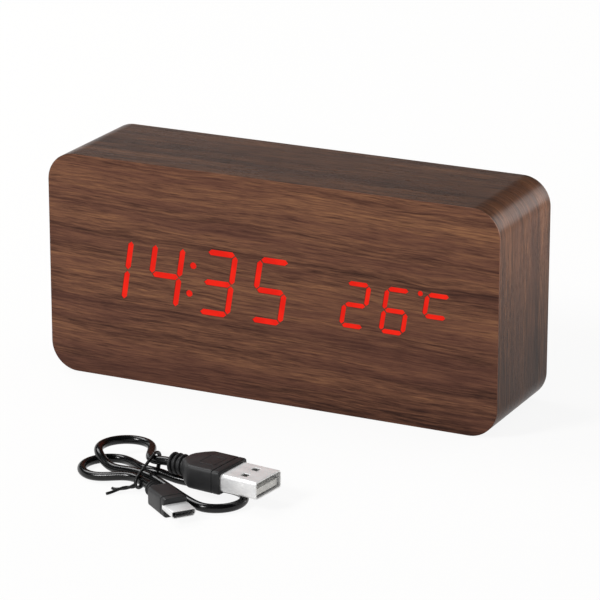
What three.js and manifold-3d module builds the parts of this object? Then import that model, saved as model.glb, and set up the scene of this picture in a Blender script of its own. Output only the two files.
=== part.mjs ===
// Desk alarm clock: a block in wood veneer whose digits shine through the front, with its tied USB lead.
// Millimetres. +X is to the right seen from the front, +Y goes to the back, +Z is up.
// The origin is the middle of the clock's underside.

import * as THREE from 'three';
import { mergeVertices } from 'three/addons/utils/BufferGeometryUtils.js';
import Module from 'manifold-3d';

// Overall size

const CASE_WIDTH = 150;
const CASE_HEIGHT = 70;
const CASE_DEPTH = 39;
const CASE_CORNER_RADIUS = 9;

// Fits and clearances

const GLUE_LINE = 0.05;
const SEAT_GAP = 0.1;
const SLIDING_GAP = 0.25;
const SCREW_CLEARANCE = 0.3;
const CUT_OVERRUN = 1;
const JOIN_DEPTH = 0.2;
const WELD_TOLERANCE = 0.0001;

// Facets

const CORNER_STEPS = 6;
const SMALL_ARC_STEPS = 3;
const SMALL_HOLE_SIDES = 8;
const HOLE_SIDES = 10;
const ROUND_SIDES = 16;
const BIG_ROUND_SIDES = 24;

// Wooden case

const VENEER_THICKNESS = 0.4;
const PANEL_THICKNESS = 2;
const CASE_WALL = 7;
const CAVITY_CORNER_RADIUS = 4;
const CORNER_BLOCK_SIZE = 8;
const CORNER_BLOCK_DEPTH = 14;
const COVER_REBATE = 3;
const COVER_RECESS = 1.2;
const COVER_THICKNESS = 2;

// Digits. Their places, widths and pitches across the clock are shares of its width

const DIGIT_LEAN = THREE.MathUtils.degToRad(9);
const SEGMENT_GAP = 0.3;
const WINDOW_CLEARANCE = 0.08;
const TIME_PLACE_SHARE = 0.3277;
const TIME_ABOVE_MIDDLE = 0.4;
const TIME_WIDTH_SHARE = 0.0627;
const TIME_DIGIT_HEIGHT = 19.2;
const TIME_PITCH_SHARE = 0.1185;
const TIME_STROKE = 1.7;
const COLON_SPACING = 9;
const COLON_DOT_RADIUS = 1;
const TEMPERATURE_PLACE_SHARE = 0.7793;
const TEMPERATURE_ABOVE_MIDDLE = 0.1;
const TEMPERATURE_WIDTH_SHARE = 0.0467;
const TEMPERATURE_DIGIT_HEIGHT = 13.3;
const TEMPERATURE_PITCH_SHARE = 0.0863;
const TEMPERATURE_STROKE = 1.35;
const DEGREE_DOT_SHARE = 0.0472;
const DEGREE_DOT_RADIUS = 0.75;

// Display stack

const LIT_PAD_RECESS = 0.04;
const LIGHT_GUIDE_THICKNESS = 1;
const LIGHT_GUIDE_MARGIN = 2.5;
const FILM_THICKNESS = 0.2;
const MASK_THICKNESS = 5;
const MASK_HEIGHT = 34;
const MASK_SIDE_MARGIN = 7.25;
const MASK_CORNER_RADIUS = 1.5;
const LED_LAYER_THICKNESS = 0.1;
const LED_SIZE = 1;
const LED_HEIGHT = 0.8;
const BOARD_THICKNESS = 1.6;
const DISPLAY_SCREW_INSET = 3.2;
const DRIVER_CHIP_LENGTH = 18;
const DRIVER_CHIP_WIDTH = 7.5;
const DRIVER_CHIP_HEIGHT = 2.3;
const DRIVER_CHIP_FROM_MIDDLE = 30;

// Screws

const SMALL_SCREW_LENGTH = 5;
const SMALL_SCREW_RADIUS = 0.9;
const SMALL_SCREW_HEAD_RADIUS = 1.8;
const SMALL_SCREW_HEAD_HEIGHT = 1.1;
const COVER_SCREW_LENGTH = 12;
const COVER_SCREW_RADIUS = 1.3;
const COVER_SCREW_HEAD_RADIUS = 2.6;
const COVER_SCREW_HEAD_HEIGHT = 1.1;
const COVER_SCREW_INSET = 6.5;
const CROSS_RECESS_WIDTH = 0.6;
const HEAD_CROWN_SHARE = 0.75;
const CROSS_RECESS_SHARE = 0.6;
const CROSS_RECESS_DEPTH = 0.6;

// Battery bay, batteries and their door

const BATTERY_COUNT = 3;
const BATTERY_LENGTH = 44.5;
const BATTERY_RADIUS = 5.15;
const BATTERY_PITCH = 10.7;
const BATTERY_NUB_RADIUS = 1.9;
const BATTERY_NUB_LENGTH = 0.9;
const BATTERY_EDGE = 0.5;
const BATTERY_WASHER_RADIUS = 3.6;
const BAY_PLACE_SHARE = 0.2208;
const BAY_LENGTH = 50.6;
const BAY_WALL = 3;
const BAY_FLOOR = 1.5;
const BAY_END_CLEARANCE = 0.3;
const DOOR_LEDGE = 1.2;
const DOOR_CORNER_RADIUS = 1.5;
const DOOR_SEAT = 0.2;
const DOOR_TONGUE_WIDTH = 6;
const DOOR_TONGUE_LENGTH = 2;
const DOOR_TONGUE_THICKNESS = 1.1;
const DOOR_TONGUE_SPACING = 32;
const DOOR_RIB_COUNT = 4;
const DOOR_RIB_PITCH = 2;
const DOOR_RIB_WIDTH = 16;
const DOOR_RIB_HEIGHT = 0.8;
const DOOR_RIB_DEPTH = 0.4;
const FINGER_RECESS_RADIUS = 5;
const FINGER_RECESS_DEPTH = 0.9;
const CONTACT_THICKNESS = 0.4;
const CONTACT_WIDTH = 8;
const SPRING_COILS = 3;
const SPRING_BASE_RADIUS = 3.2;
const SPRING_TIP_RADIUS = 1.6;
const SPRING_WIRE_RADIUS = 0.3;
const SPRING_COIL_STEPS = 8;
const SPRING_WIRE_SIDES = 5;

// Control board and what stands on it. Places across the board are shares of its width

const CONTROL_PLACE_SHARE = 0.2208;
const CONTROL_WIDTH_SHARE = 0.3467;
const CONTROL_HEIGHT = 40;
const CONTROL_BEHIND_COVER = 7.3;
const POST_RADIUS = 2.5;
const POST_PIN_RADIUS = 1;
const POST_INSET_X = 3;
const POST_INSET_Z = 3;
const POST_PIN_STAND = 1;
const SWITCH_SIZE = 6;
const SWITCH_HEIGHT = 3.5;
const SWITCH_WELL_DEPTH = 1.5;
const PLUNGER_RADIUS = 1.75;
const PLUNGER_HEIGHT = 2.3;
const PLUNGER_STAND = 1.3;
const BUTTON_TRAVEL = 0.6;
const BUTTON_RADIUS = 3.5;
const BUTTON_FLANGE_RADIUS = 4.5;
const BUTTON_FLANGE_THICKNESS = 1;
const BUTTON_STEM_RADIUS = 1.5;
const BUTTON_STAND = 1;
const BUTTON_EDGE = 0.3;
const BUTTONS_FROM_TOP = 9;
const BUTTON_PITCH_SHARE = 0.25;
const FIRST_BUTTON_SHARE = -0.3654;
const SOCKET_PLACE_SHARE = 0.3654;
const SOCKET_WIDTH = 7.8;
const SOCKET_HEIGHT = 2.9;
const SOCKET_WALL = 0.3;
const SOCKET_CHAMFER = 0.8;
const SOCKET_DEPTH = 8;
const SOCKET_TONGUE_WIDTH = 4;
const SOCKET_TONGUE_THICKNESS = 0.6;
const SOCKET_TONGUE_LENGTH = 6.6;
const SOCKET_BASE_LENGTH = 2.4;
const SOCKET_SLOT_MARGIN = 0.4;
const BUZZER_RADIUS = 6;
const BUZZER_HEIGHT = 5.5;
const BUZZER_HOLE_RADIUS = 1;
const BUZZER_HOLE_DEPTH = 2;
const BUZZER_PLACE_SHARE = 0.0962;
const BUZZER_FROM_BOTTOM = 10;
const SOUND_HOLE_RADIUS = 0.7;
const SOUND_HOLE_RING_RADIUS = 3;
const SOUND_HOLE_COUNT = 6;
const MICROPHONE_RADIUS = 3;
const MICROPHONE_HEIGHT = 2.7;
const MICROPHONE_PORT_RADIUS = 0.8;
const MICROPHONE_PORT_DEPTH = 1;
const MICROPHONE_PLACE_SHARE = -0.3269;
const MICROPHONE_FROM_BOTTOM = 10;
const SENSOR_PLACE_SHARE = 0.3846;
const SENSOR_FROM_BOTTOM = 10;
const SENSOR_RADIUS = 1.2;
const SENSOR_STAND = 3;
const SENSOR_LEG_RADIUS = 0.3;
const SENSOR_LEG_SPACING = 1.3;
const VENT_SLOT_COUNT = 3;
const VENT_SLOT_LENGTH = 8;
const VENT_SLOT_HEIGHT = 1;
const VENT_SLOT_PITCH = 2.4;
const CONTROL_CHIP_WIDTH = 10.3;
const CONTROL_CHIP_HEIGHT = 7.5;
const CONTROL_CHIP_THICKNESS = 2.3;
const CONTROL_CHIP_PLACE_SHARE = -0.0577;
const CONTROL_CHIP_FROM_TOP = 8;
const CRYSTAL_LENGTH = 8;
const CRYSTAL_RADIUS = 1.5;
const CRYSTAL_PLACE_SHARE = 0.25;
const CRYSTAL_FROM_TOP = 6;
const CELL_RADIUS = 10;
const CELL_THICKNESS = 3.2;
const CELL_EDGE = 0.4;
const CELL_HOLDER_WALL = 1.2;
const CELL_HOLDER_FLOOR = 0.8;
const CELL_PLACE_SHARE = 0.2308;
const CELL_FROM_BOTTOM = 14;
const CONNECTOR_WIDTH = 13;
const CONNECTOR_HEIGHT = 5;
const CONNECTOR_DEPTH = 4;
const CONNECTOR_SLOT_DEPTH = 3;
const CONNECTOR_PLACE_SHARE = -0.2692;
const CONNECTOR_FROM_BOTTOM = 9;
const DISPLAY_CONNECTOR_Z = 0;
const RIBBON_WIDTH = 10;
const RIBBON_THICKNESS = 0.6;
const RIBBON_PLUG_DEPTH = 2;
const RIBBON_STRAIGHT = 3;
const RIBBON_STEPS = 10;
const WIRE_RADIUS = 0.6;
const WIRE_SIDES = 6;
const WIRE_STEPS = 16;
const WIRE_DEPTH = 2.2;

// Lead: cord and hank

const CORD_DIAMETER = 2.6;
const CORD_SIDES = 6;
const CORD_STEPS = 84;
const STRAND_GAP = 0.6;
const LOOP_RADIUS = 7.8;
const LOOP_POINTS = 6;
const CROSSING_CLEARANCE = 0.7;
const CROSSING_SHARE = 0.82;
const CORD_END_GAP = 0.3;
const UNDER_PLUG_RISE = 0.5;
const UPPER_LEFT_LOOP = { x: -11, y: 10.8, fromDegrees: 35, toDegrees: 265 };
const RIGHT_LOOP = { x: 26.5, y: -4.8, fromDegrees: -115, toDegrees: 85 };
const LOWER_LEFT_LOOP = { x: -12.2, y: 3, fromDegrees: 76, toDegrees: 275 };
const LEAD_X = -2.5;
const LEAD_Y = -95;
const LEAST_CORD_GAP = 0.4;

// Lead: tie round the waist of the hank

const TIE_THICKNESS = 0.9;
const TIE_WIDTH = 1.2;
const TIE_GAP = 0.4;
const TIE_SLACK = 0.5;
const TIE_X = 2.2;
const TIE_STEPS = 24;
const TIE_TAIL_SIDES = 6;
const TIE_TAIL_STEPS = 8;
const TIE_TOP_Y = 4.3;
const TIE_RIGHT_Y = 3.3;
const TIE_LEFT_Y = -4.9;
const TIE_TAIL_ROUTES = [
  [
    [2.2, -6.6, 2.4],
    [1.6, -7.8, 2],
    [0.4, -8.6, 1.2],
    [-1.8, -9.4, 0.9],
    [-3.4, -9.6, 0.6],
    [-4.4, -9.2, 0.6],
  ],
  [
    [2.2, -6.6, 1.6],
    [1.2, -7.4, 1.1],
    [-0.4, -8.8, 1.6],
    [-2, -10.4, 1],
    [-3, -12, 0.6],
    [-3.8, -13.6, 0.6],
  ],
];

// Lead: USB-A plug, along its own X from the end of its ribbed neck

const PLUG_A_TURN = THREE.MathUtils.degToRad(-7);
const PLUG_A_X = 8.6;
const PLUG_A_Y = 2.9;
const PLUG_A_THICKNESS = 7;
const PLUG_A_WIDTH = 14.5;
const PLUG_A_NECK_WIDTH = 6.4;
const PLUG_A_NECK_LENGTH = 5;
const PLUG_A_SHOULDER_LENGTH = 5;
const PLUG_A_BODY_LENGTH = 10.5;
const PLUG_A_EDGE = 0.7;
const PLUG_A_LIFT = 0.3;
const SHELL_A_WIDTH = 12;
const SHELL_A_HEIGHT = 4.5;
const SHELL_A_WALL = 0.35;
const SHELL_A_STAND = 12;
const SHELL_A_SEAT = 1.5;
const SHELL_A_CORNER = 0.5;
const SHELL_A_HOLE = 2.2;
const SHELL_A_HOLE_SPACING = 5.2;
const SHELL_A_HOLE_FROM_PLUG = 6;
const TONGUE_A_THICKNESS = 1.9;
const TONGUE_A_INSET = 0.8;
const TONGUE_A_BASE_LENGTH = 3;

// Lead: micro-USB plug, along its own X from the end of its ribbed neck

const PLUG_B_TURN = THREE.MathUtils.degToRad(-38);
const PLUG_B_X = 8.4;
const PLUG_B_Y = -9.2;
const PLUG_B_THICKNESS = 5.6;
const PLUG_B_WIDTH = 7.2;
const PLUG_B_NECK_WIDTH = 4.6;
const PLUG_B_NECK_LENGTH = 3.6;
const PLUG_B_SHOULDER_LENGTH = 1.6;
const PLUG_B_BODY_LENGTH = 11;
const PLUG_B_EDGE = 0.6;
const SHELL_B_WIDTH = 6.85;
const SHELL_B_HEIGHT = 1.8;
const SHELL_B_WALL = 0.25;
const SHELL_B_STAND = 5.5;
const SHELL_B_SEAT = 1;
const SHELL_B_CHAMFER = 0.6;
const TONGUE_B_INSET = 0.5;
const TONGUE_B_THICKNESS = 0.5;
const TONGUE_B_BASE_LENGTH = 1.6;

// Ribbed necks

const NECK_RIB_COUNT = 3;
const NECK_RIB_DEPTH = 0.45;
const NECK_SIDES = 12;

// Solids

const wasm = await Module();
wasm.setup();

function toSolid(geometry) {
  const bare = geometry.clone();
  bare.deleteAttribute('normal');
  bare.deleteAttribute('uv');
  const merged = mergeVertices(bare, WELD_TOLERANCE);
  return new wasm.Manifold(new wasm.Mesh({
    numProp: 3,
    vertProperties: new Float32Array(merged.attributes.position.array),
    triVerts: new Uint32Array(merged.index.array),
  }));
}

function toGeometry(solid) {
  const mesh = solid.getMesh();
  const geometry = new THREE.BufferGeometry();
  geometry.setAttribute('position', new THREE.BufferAttribute(mesh.vertProperties, mesh.numProp));
  geometry.setIndex(new THREE.BufferAttribute(mesh.triVerts, 1));
  geometry.computeVertexNormals();
  return geometry;
}

function join(first, ...others) {
  return toGeometry(others.reduce((solid, other) => solid.add(toSolid(other)), toSolid(first)));
}

function cut(body, ...tools) {
  return toGeometry(tools.reduce((solid, tool) => solid.subtract(toSolid(tool)), toSolid(body)));
}

// Basic shapes

function roundedRectangle(width, height, radius, centreX = 0, centreZ = 0) {
  const x = width / 2 - radius;
  const z = height / 2 - radius;
  const shape = new THREE.Shape();
  shape.absarc(centreX + x, centreZ + z, radius, 0, Math.PI / 2);
  shape.absarc(centreX - x, centreZ + z, radius, Math.PI / 2, Math.PI);
  shape.absarc(centreX - x, centreZ - z, radius, Math.PI, 1.5 * Math.PI);
  shape.absarc(centreX + x, centreZ - z, radius, 1.5 * Math.PI, 2 * Math.PI);
  shape.closePath();
  return shape;
}

function polygon(points) {
  return new THREE.Shape(points.map(([x, z]) => new THREE.Vector2(x, z)));
}

function regularPolygon(radius, sides, centreX = 0, centreZ = 0) {
  const corners = Array.from({ length: sides }, (_, corner) => {
    const angle = (2 * Math.PI * corner) / sides;
    return [centreX + radius * Math.cos(angle), centreZ + radius * Math.sin(angle)];
  });
  return polygon(corners);
}

function chamferedRectangle(width, height, chamfer, centreX = 0, centreZ = 0) {
  const x = width / 2;
  const z = height / 2;
  return polygon([
    [centreX - x, centreZ + z],
    [centreX - x, centreZ - z + chamfer],
    [centreX - x + chamfer, centreZ - z],
    [centreX + x - chamfer, centreZ - z],
    [centreX + x, centreZ - z + chamfer],
    [centreX + x, centreZ + z],
  ]);
}

function withHoles(shape, holes) {
  shape.holes.push(...holes);
  return shape;
}

// An outline in the X-Z plane made solid from one Y to another
function plate(shapes, frontY, backY, arcSteps = SMALL_ARC_STEPS) {
  const settings = { depth: backY - frontY, bevelEnabled: false, curveSegments: arcSteps };
  return new THREE.ExtrudeGeometry(shapes, settings).rotateX(Math.PI / 2).translate(0, backY, 0);
}

function block(spanX, spanY, spanZ) {
  const spans = [spanX, spanY, spanZ];
  const size = spans.map(([low, high]) => high - low);
  const centre = spans.map(([low, high]) => (low + high) / 2);
  return new THREE.BoxGeometry(...size).translate(...centre);
}

function span(centre, size) {
  return [centre - size / 2, centre + size / 2];
}

// A round bar along Y
function bar(radius, x, z, frontY, backY, sides = HOLE_SIDES) {
  const length = backY - frontY;
  return new THREE.CylinderGeometry(radius, radius, length, sides).translate(x, (frontY + backY) / 2, z);
}

// A turned piece: its profile holds pairs of a radius and a place along Y
function turned(profile, x, z, sides = ROUND_SIDES) {
  const points = profile.map(([radius, y]) => new THREE.Vector2(radius, y));
  return new THREE.LatheGeometry(points, sides).translate(x, 0, z);
}

// A smooth curve drawn along by its control points, which starts and ends on the first and the last
class SmoothRoute extends THREE.Curve {
  constructor(points) {
    super();
    const first = points[0];
    const last = points.at(-1);
    this.points = [first, first, ...points, last, last];
  }

  getPoint(share, target = new THREE.Vector3()) {
    const spans = this.points.length - 3;
    const index = Math.min(Math.floor(share * spans), spans - 1);
    const t = share * spans - index;
    const weights = [
      (1 - t) ** 3 / 6,
      (3 * t ** 3 - 6 * t ** 2 + 4) / 6,
      (-3 * t ** 3 + 3 * t ** 2 + 3 * t + 1) / 6,
      t ** 3 / 6,
    ];
    target.set(0, 0, 0);
    weights.forEach((weight, offset) => target.addScaledVector(this.points[index + offset], weight));
    return target;
  }
}

function tube(curve, radius, sides, steps) {
  return new THREE.ExtrudeGeometry(regularPolygon(radius, sides), { steps, extrudePath: curve });
}

function route(places) {
  return new SmoothRoute(places.map((place) => new THREE.Vector3(...place)));
}

// Colours and finishes

function finish(color, roughness, metalness = 0) {
  return new THREE.MeshStandardMaterial({ color, roughness, metalness });
}

const WALNUT = finish(0x6b4a36, 0.5);
const FIBREBOARD = finish(0x9a7b56, 0.9);
const LIT_RED = finish(0xeb2314, 0.4);
const FILM_WHITE = finish(0xe8e8e2, 0.6);
const BLACK_PLASTIC = finish(0x1b1b1c, 0.55);
const DARK_PLASTIC = finish(0x2a2a2b, 0.6);
const CIRCUIT_GREEN = finish(0x1d5a35, 0.45);
const LED_WHITE = finish(0xf0ead8, 0.4);
const STEEL = finish(0xb9bcc0, 0.3, 1);
const BRASS = finish(0xc2a15a, 0.35, 1);
const BATTERY_WRAP = finish(0x2f5f8f, 0.4);
const IVORY_PLASTIC = finish(0xe7e1cf, 0.5);
const CORD_BLACK = finish(0x141415, 0.3);
const WIRE_RED = finish(0xb3231c, 0.5);
const RIBBON_GREY = finish(0x9c9c9c, 0.6);

function piece(name, geometry, material) {
  const mesh = new THREE.Mesh(geometry, material);
  mesh.name = name;
  return mesh;
}

// Places worked out from the sizes above, with Z measured from the middle of the clock's height

const FRONT_Y = -CASE_DEPTH / 2;
const BACK_Y = CASE_DEPTH / 2;
const VENEER_BACK_Y = FRONT_Y + VENEER_THICKNESS;
const PANEL_FRONT_Y = VENEER_BACK_Y + GLUE_LINE;
const PANEL_BACK_Y = PANEL_FRONT_Y + PANEL_THICKNESS;
const CASE_FRONT_Y = PANEL_BACK_Y + GLUE_LINE;
const COVER_OUTER_Y = BACK_Y - COVER_RECESS;
const COVER_INNER_Y = COVER_OUTER_Y - COVER_THICKNESS;
const LEDGE_Y = COVER_INNER_Y - SEAT_GAP;

const CORE_INSET = VENEER_THICKNESS + GLUE_LINE;
const CORE_WIDTH = CASE_WIDTH - 2 * CORE_INSET;
const CORE_HEIGHT = CASE_HEIGHT - 2 * CORE_INSET;
const CORE_CORNER_RADIUS = CASE_CORNER_RADIUS - CORE_INSET;
const CAVITY_WIDTH = CORE_WIDTH - 2 * CASE_WALL;
const CAVITY_HEIGHT = CORE_HEIGHT - 2 * CASE_WALL;
const REBATE_WIDTH = CAVITY_WIDTH + 2 * COVER_REBATE;
const REBATE_HEIGHT = CAVITY_HEIGHT + 2 * COVER_REBATE;
const COVER_WIDTH = REBATE_WIDTH - 2 * SLIDING_GAP;
const COVER_HEIGHT = REBATE_HEIGHT - 2 * SLIDING_GAP;
const COVER_CORNER_RADIUS = CAVITY_CORNER_RADIUS + COVER_REBATE - SLIDING_GAP;
const COVER_SCREW_X = COVER_WIDTH / 2 - COVER_SCREW_INSET;
const COVER_SCREW_Z = COVER_HEIGHT / 2 - COVER_SCREW_INSET;
const coverScrewPlaces = [-1, 1].flatMap((side) => [-1, 1].map((level) => [
  side * COVER_SCREW_X,
  level * COVER_SCREW_Z,
]));

// Wooden case: veneer on the front, veneer wrapped round the sides, and the board under them

function coreOutline() {
  return roundedRectangle(CORE_WIDTH, CORE_HEIGHT, CORE_CORNER_RADIUS);
}

function frontVeneer() {
  const outline = roundedRectangle(CASE_WIDTH, CASE_HEIGHT, CASE_CORNER_RADIUS);
  const windows = [...litShapes(timeDigits), ...litShapes(temperatureDigits)];
  return plate(withHoles(outline, windows), FRONT_Y, VENEER_BACK_Y, CORNER_STEPS);
}

function wrapVeneer() {
  const outline = roundedRectangle(CASE_WIDTH, CASE_HEIGHT, CASE_CORNER_RADIUS);
  const inner = roundedRectangle(
    CASE_WIDTH - 2 * VENEER_THICKNESS,
    CASE_HEIGHT - 2 * VENEER_THICKNESS,
    CASE_CORNER_RADIUS - VENEER_THICKNESS,
  );
  return plate(withHoles(outline, [inner]), PANEL_FRONT_Y, BACK_Y, CORNER_STEPS);
}

function frontPanel() {
  const windows = [...allShapes(timeDigits), ...allShapes(temperatureDigits)];
  return plate(withHoles(coreOutline(), windows), PANEL_FRONT_Y, PANEL_BACK_Y, CORNER_STEPS);
}

function woodCase() {
  const cavity = roundedRectangle(CAVITY_WIDTH, CAVITY_HEIGHT, CAVITY_CORNER_RADIUS);
  const sleeve = plate(withHoles(coreOutline(), [cavity]), CASE_FRONT_Y, BACK_Y, CORNER_STEPS);
  const blocks = [-1, 1].flatMap((side) => [-1, 1].map((level) => {
    const size = CORNER_BLOCK_SIZE + JOIN_DEPTH;
    const x = side * (CAVITY_WIDTH / 2 + JOIN_DEPTH - size / 2);
    const z = level * (CAVITY_HEIGHT / 2 + JOIN_DEPTH - size / 2);
    return block(span(x, size), [LEDGE_Y - CORNER_BLOCK_DEPTH, LEDGE_Y + JOIN_DEPTH], span(z, size));
  }));
  const rebate = plate(
    roundedRectangle(REBATE_WIDTH, REBATE_HEIGHT, CAVITY_CORNER_RADIUS + COVER_REBATE),
    LEDGE_Y,
    BACK_Y + CUT_OVERRUN,
    CORNER_STEPS,
  );
  const pilotDepth = COVER_SCREW_LENGTH + CUT_OVERRUN;
  const pilots = coverScrewPlaces.map(([x, z]) => (
    bar(COVER_SCREW_RADIUS + SCREW_CLEARANCE / 2, x, z, COVER_OUTER_Y - pilotDepth, BACK_Y)
  ));
  return cut(join(sleeve, ...blocks), rebate, ...pilots);
}

// Seven-segment digits, leaning to the right

const SEGMENT_END_SHARES = {
  a: [[-1, 1], [1, 1]],
  b: [[1, 1], [1, 0]],
  c: [[1, 0], [1, -1]],
  d: [[-1, -1], [1, -1]],
  e: [[-1, 0], [-1, -1]],
  f: [[-1, 1], [-1, 0]],
  g: [[-1, 0], [1, 0]],
};

const timeDigits = {
  x: CASE_WIDTH * (TIME_PLACE_SHARE - 1 / 2),
  z: TIME_ABOVE_MIDDLE,
  width: CASE_WIDTH * TIME_WIDTH_SHARE,
  height: TIME_DIGIT_HEIGHT,
  pitch: CASE_WIDTH * TIME_PITCH_SHARE,
  stroke: TIME_STROKE,
  lit: ['bc', 'bcfg', 'abcdg', 'acdfg'],
  dots: [[0, COLON_SPACING / 2], [0, -COLON_SPACING / 2]],
  dotRadius: COLON_DOT_RADIUS,
};

const temperatureDigits = {
  x: CASE_WIDTH * (TEMPERATURE_PLACE_SHARE - 1 / 2),
  z: TEMPERATURE_ABOVE_MIDDLE,
  width: CASE_WIDTH * TEMPERATURE_WIDTH_SHARE,
  height: TEMPERATURE_DIGIT_HEIGHT,
  pitch: CASE_WIDTH * TEMPERATURE_PITCH_SHARE,
  stroke: TEMPERATURE_STROKE,
  lit: ['abdeg', 'acdefg', 'afg'],
  dots: [[CASE_WIDTH * DEGREE_DOT_SHARE, TEMPERATURE_DIGIT_HEIGHT / 2]],
  dotRadius: DEGREE_DOT_RADIUS,
};

function lean(digits, x, z) {
  return [digits.x + x + z * Math.tan(DIGIT_LEAN), digits.z + z];
}

function digitCentre(digits, index) {
  return (index - (digits.lit.length - 1) / 2) * digits.pitch;
}

// One segment: a bar with pointed ends, grown by a clearance where it is a window
function segmentShape(digits, index, name, clearance) {
  const [from, to] = SEGMENT_END_SHARES[name].map(([shareX, shareZ]) => new THREE.Vector2(
    digitCentre(digits, index) + (shareX * digits.width) / 2,
    (shareZ * digits.height) / 2,
  ));
  const along = to.clone().sub(from).normalize();
  const half = digits.stroke / 2;
  const corner = (end, inward, sideways) => {
    const x = end.x + along.x * inward - along.y * sideways;
    const z = end.y + along.y * inward + along.x * sideways;
    return lean(digits, x, z);
  };
  const tip = SEGMENT_GAP - clearance;
  const shoulder = SEGMENT_GAP + half;
  return polygon([
    corner(from, tip, 0),
    corner(from, shoulder, -half - clearance),
    corner(to, -shoulder, -half - clearance),
    corner(to, -tip, 0),
    corner(to, -shoulder, half + clearance),
    corner(from, shoulder, half + clearance),
  ]);
}

function dotShapes(digits, clearance) {
  const radius = digits.dotRadius + clearance;
  return digits.dots.map(([x, z]) => regularPolygon(radius, HOLE_SIDES, ...lean(digits, x, z)));
}

function litShapes(digits, clearance = WINDOW_CLEARANCE) {
  const segments = digits.lit.flatMap((names, index) => (
    [...names].map((name) => segmentShape(digits, index, name, clearance))
  ));
  return [...segments, ...dotShapes(digits, clearance)];
}

function allShapes(digits, clearance = WINDOW_CLEARANCE) {
  const segments = digits.lit.flatMap((_, index) => (
    Object.keys(SEGMENT_END_SHARES).map((name) => segmentShape(digits, index, name, clearance))
  ));
  return [...segments, ...dotShapes(digits, clearance)];
}

// Display stack behind the front panel

const GUIDE_FRONT_Y = PANEL_BACK_Y + SEAT_GAP;
const GUIDE_BACK_Y = GUIDE_FRONT_Y + LIGHT_GUIDE_THICKNESS;
const FILM_FRONT_Y = GUIDE_BACK_Y + SEAT_GAP;
const FILM_BACK_Y = FILM_FRONT_Y + FILM_THICKNESS;
const MASK_FRONT_Y = FILM_BACK_Y + SEAT_GAP;
const MASK_BACK_Y = MASK_FRONT_Y + MASK_THICKNESS;
const LED_LAYER_FRONT_Y = MASK_BACK_Y + SEAT_GAP;
const LED_LAYER_BACK_Y = LED_LAYER_FRONT_Y + LED_LAYER_THICKNESS;
const DISPLAY_BOARD_FRONT_Y = LED_LAYER_BACK_Y + SEAT_GAP;
const DISPLAY_BOARD_BACK_Y = DISPLAY_BOARD_FRONT_Y + BOARD_THICKNESS;

function digitsWidth(digits) {
  return (digits.lit.length - 1) * digits.pitch + digits.width;
}

const MASK_LEFT = timeDigits.x - digitsWidth(timeDigits) / 2 - MASK_SIDE_MARGIN;
const MASK_RIGHT = temperatureDigits.x + digitsWidth(temperatureDigits) / 2 + MASK_SIDE_MARGIN;
const MASK_WIDTH = MASK_RIGHT - MASK_LEFT;
const MASK_X = (MASK_LEFT + MASK_RIGHT) / 2;
const DISPLAY_SCREW_X = MASK_WIDTH / 2 - DISPLAY_SCREW_INSET;
const DISPLAY_SCREW_Z = MASK_HEIGHT / 2 - DISPLAY_SCREW_INSET;
const displayScrewPlaces = [-1, 1].flatMap((side) => [-1, 1].map((level) => [
  MASK_X + side * DISPLAY_SCREW_X,
  level * DISPLAY_SCREW_Z,
]));

function displayOutline() {
  return roundedRectangle(MASK_WIDTH, MASK_HEIGHT, MASK_CORNER_RADIUS, MASK_X);
}

// A clear plate with a pad for each segment; the pads that shine reach the face of the veneer
function lightGuide(digits) {
  const width = digitsWidth(digits) + digits.height * Math.tan(DIGIT_LEAN) + 2 * LIGHT_GUIDE_MARGIN;
  const height = digits.height + 2 * LIGHT_GUIDE_MARGIN;
  const backing = plate(
    roundedRectangle(width, height, MASK_CORNER_RADIUS, digits.x, digits.z),
    GUIDE_FRONT_Y,
    GUIDE_BACK_Y,
  );
  const darkPads = plate(allShapes(digits, 0), PANEL_FRONT_Y, GUIDE_FRONT_Y + JOIN_DEPTH);
  const litPads = plate(litShapes(digits, 0), FRONT_Y + LIT_PAD_RECESS, GUIDE_FRONT_Y + JOIN_DEPTH);
  return join(backing, darkPads, litPads);
}

function diffuserFilm() {
  return plate(displayOutline(), FILM_FRONT_Y, FILM_BACK_Y);
}

function segmentMask() {
  const wells = [...allShapes(timeDigits), ...allShapes(temperatureDigits)];
  const pilotRadius = SMALL_SCREW_RADIUS + SCREW_CLEARANCE / 2;
  const pilots = displayScrewPlaces.map(([x, z]) => regularPolygon(pilotRadius, SMALL_HOLE_SIDES, x, z));
  return plate(withHoles(displayOutline(), [...wells, ...pilots]), MASK_FRONT_Y, MASK_BACK_Y);
}

function segmentMiddle(digits, index, name) {
  const [from, to] = SEGMENT_END_SHARES[name];
  const x = digitCentre(digits, index) + ((from[0] + to[0]) * digits.width) / 4;
  const z = ((from[1] + to[1]) * digits.height) / 4;
  return lean(digits, x, z);
}

function ledPlaces(digits) {
  const segments = digits.lit.flatMap((_, index) => (
    Object.keys(SEGMENT_END_SHARES).map((name) => segmentMiddle(digits, index, name))
  ));
  return [...segments, ...digits.dots.map(([x, z]) => lean(digits, x, z))];
}

// The chips and the thin track layer that they are soldered to
function ledArray() {
  const layerHeight = MASK_HEIGHT - 4 * DISPLAY_SCREW_INSET;
  const layer = plate(
    roundedRectangle(MASK_WIDTH, layerHeight, MASK_CORNER_RADIUS, MASK_X),
    LED_LAYER_FRONT_Y,
    LED_LAYER_BACK_Y,
  );
  const chips = [...ledPlaces(timeDigits), ...ledPlaces(temperatureDigits)].map(([x, z]) => block(
    span(x, LED_SIZE),
    [LED_LAYER_FRONT_Y - LED_HEIGHT, LED_LAYER_BACK_Y - LED_LAYER_THICKNESS / 2],
    span(z, LED_SIZE),
  ));
  return join(layer, ...chips);
}

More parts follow.
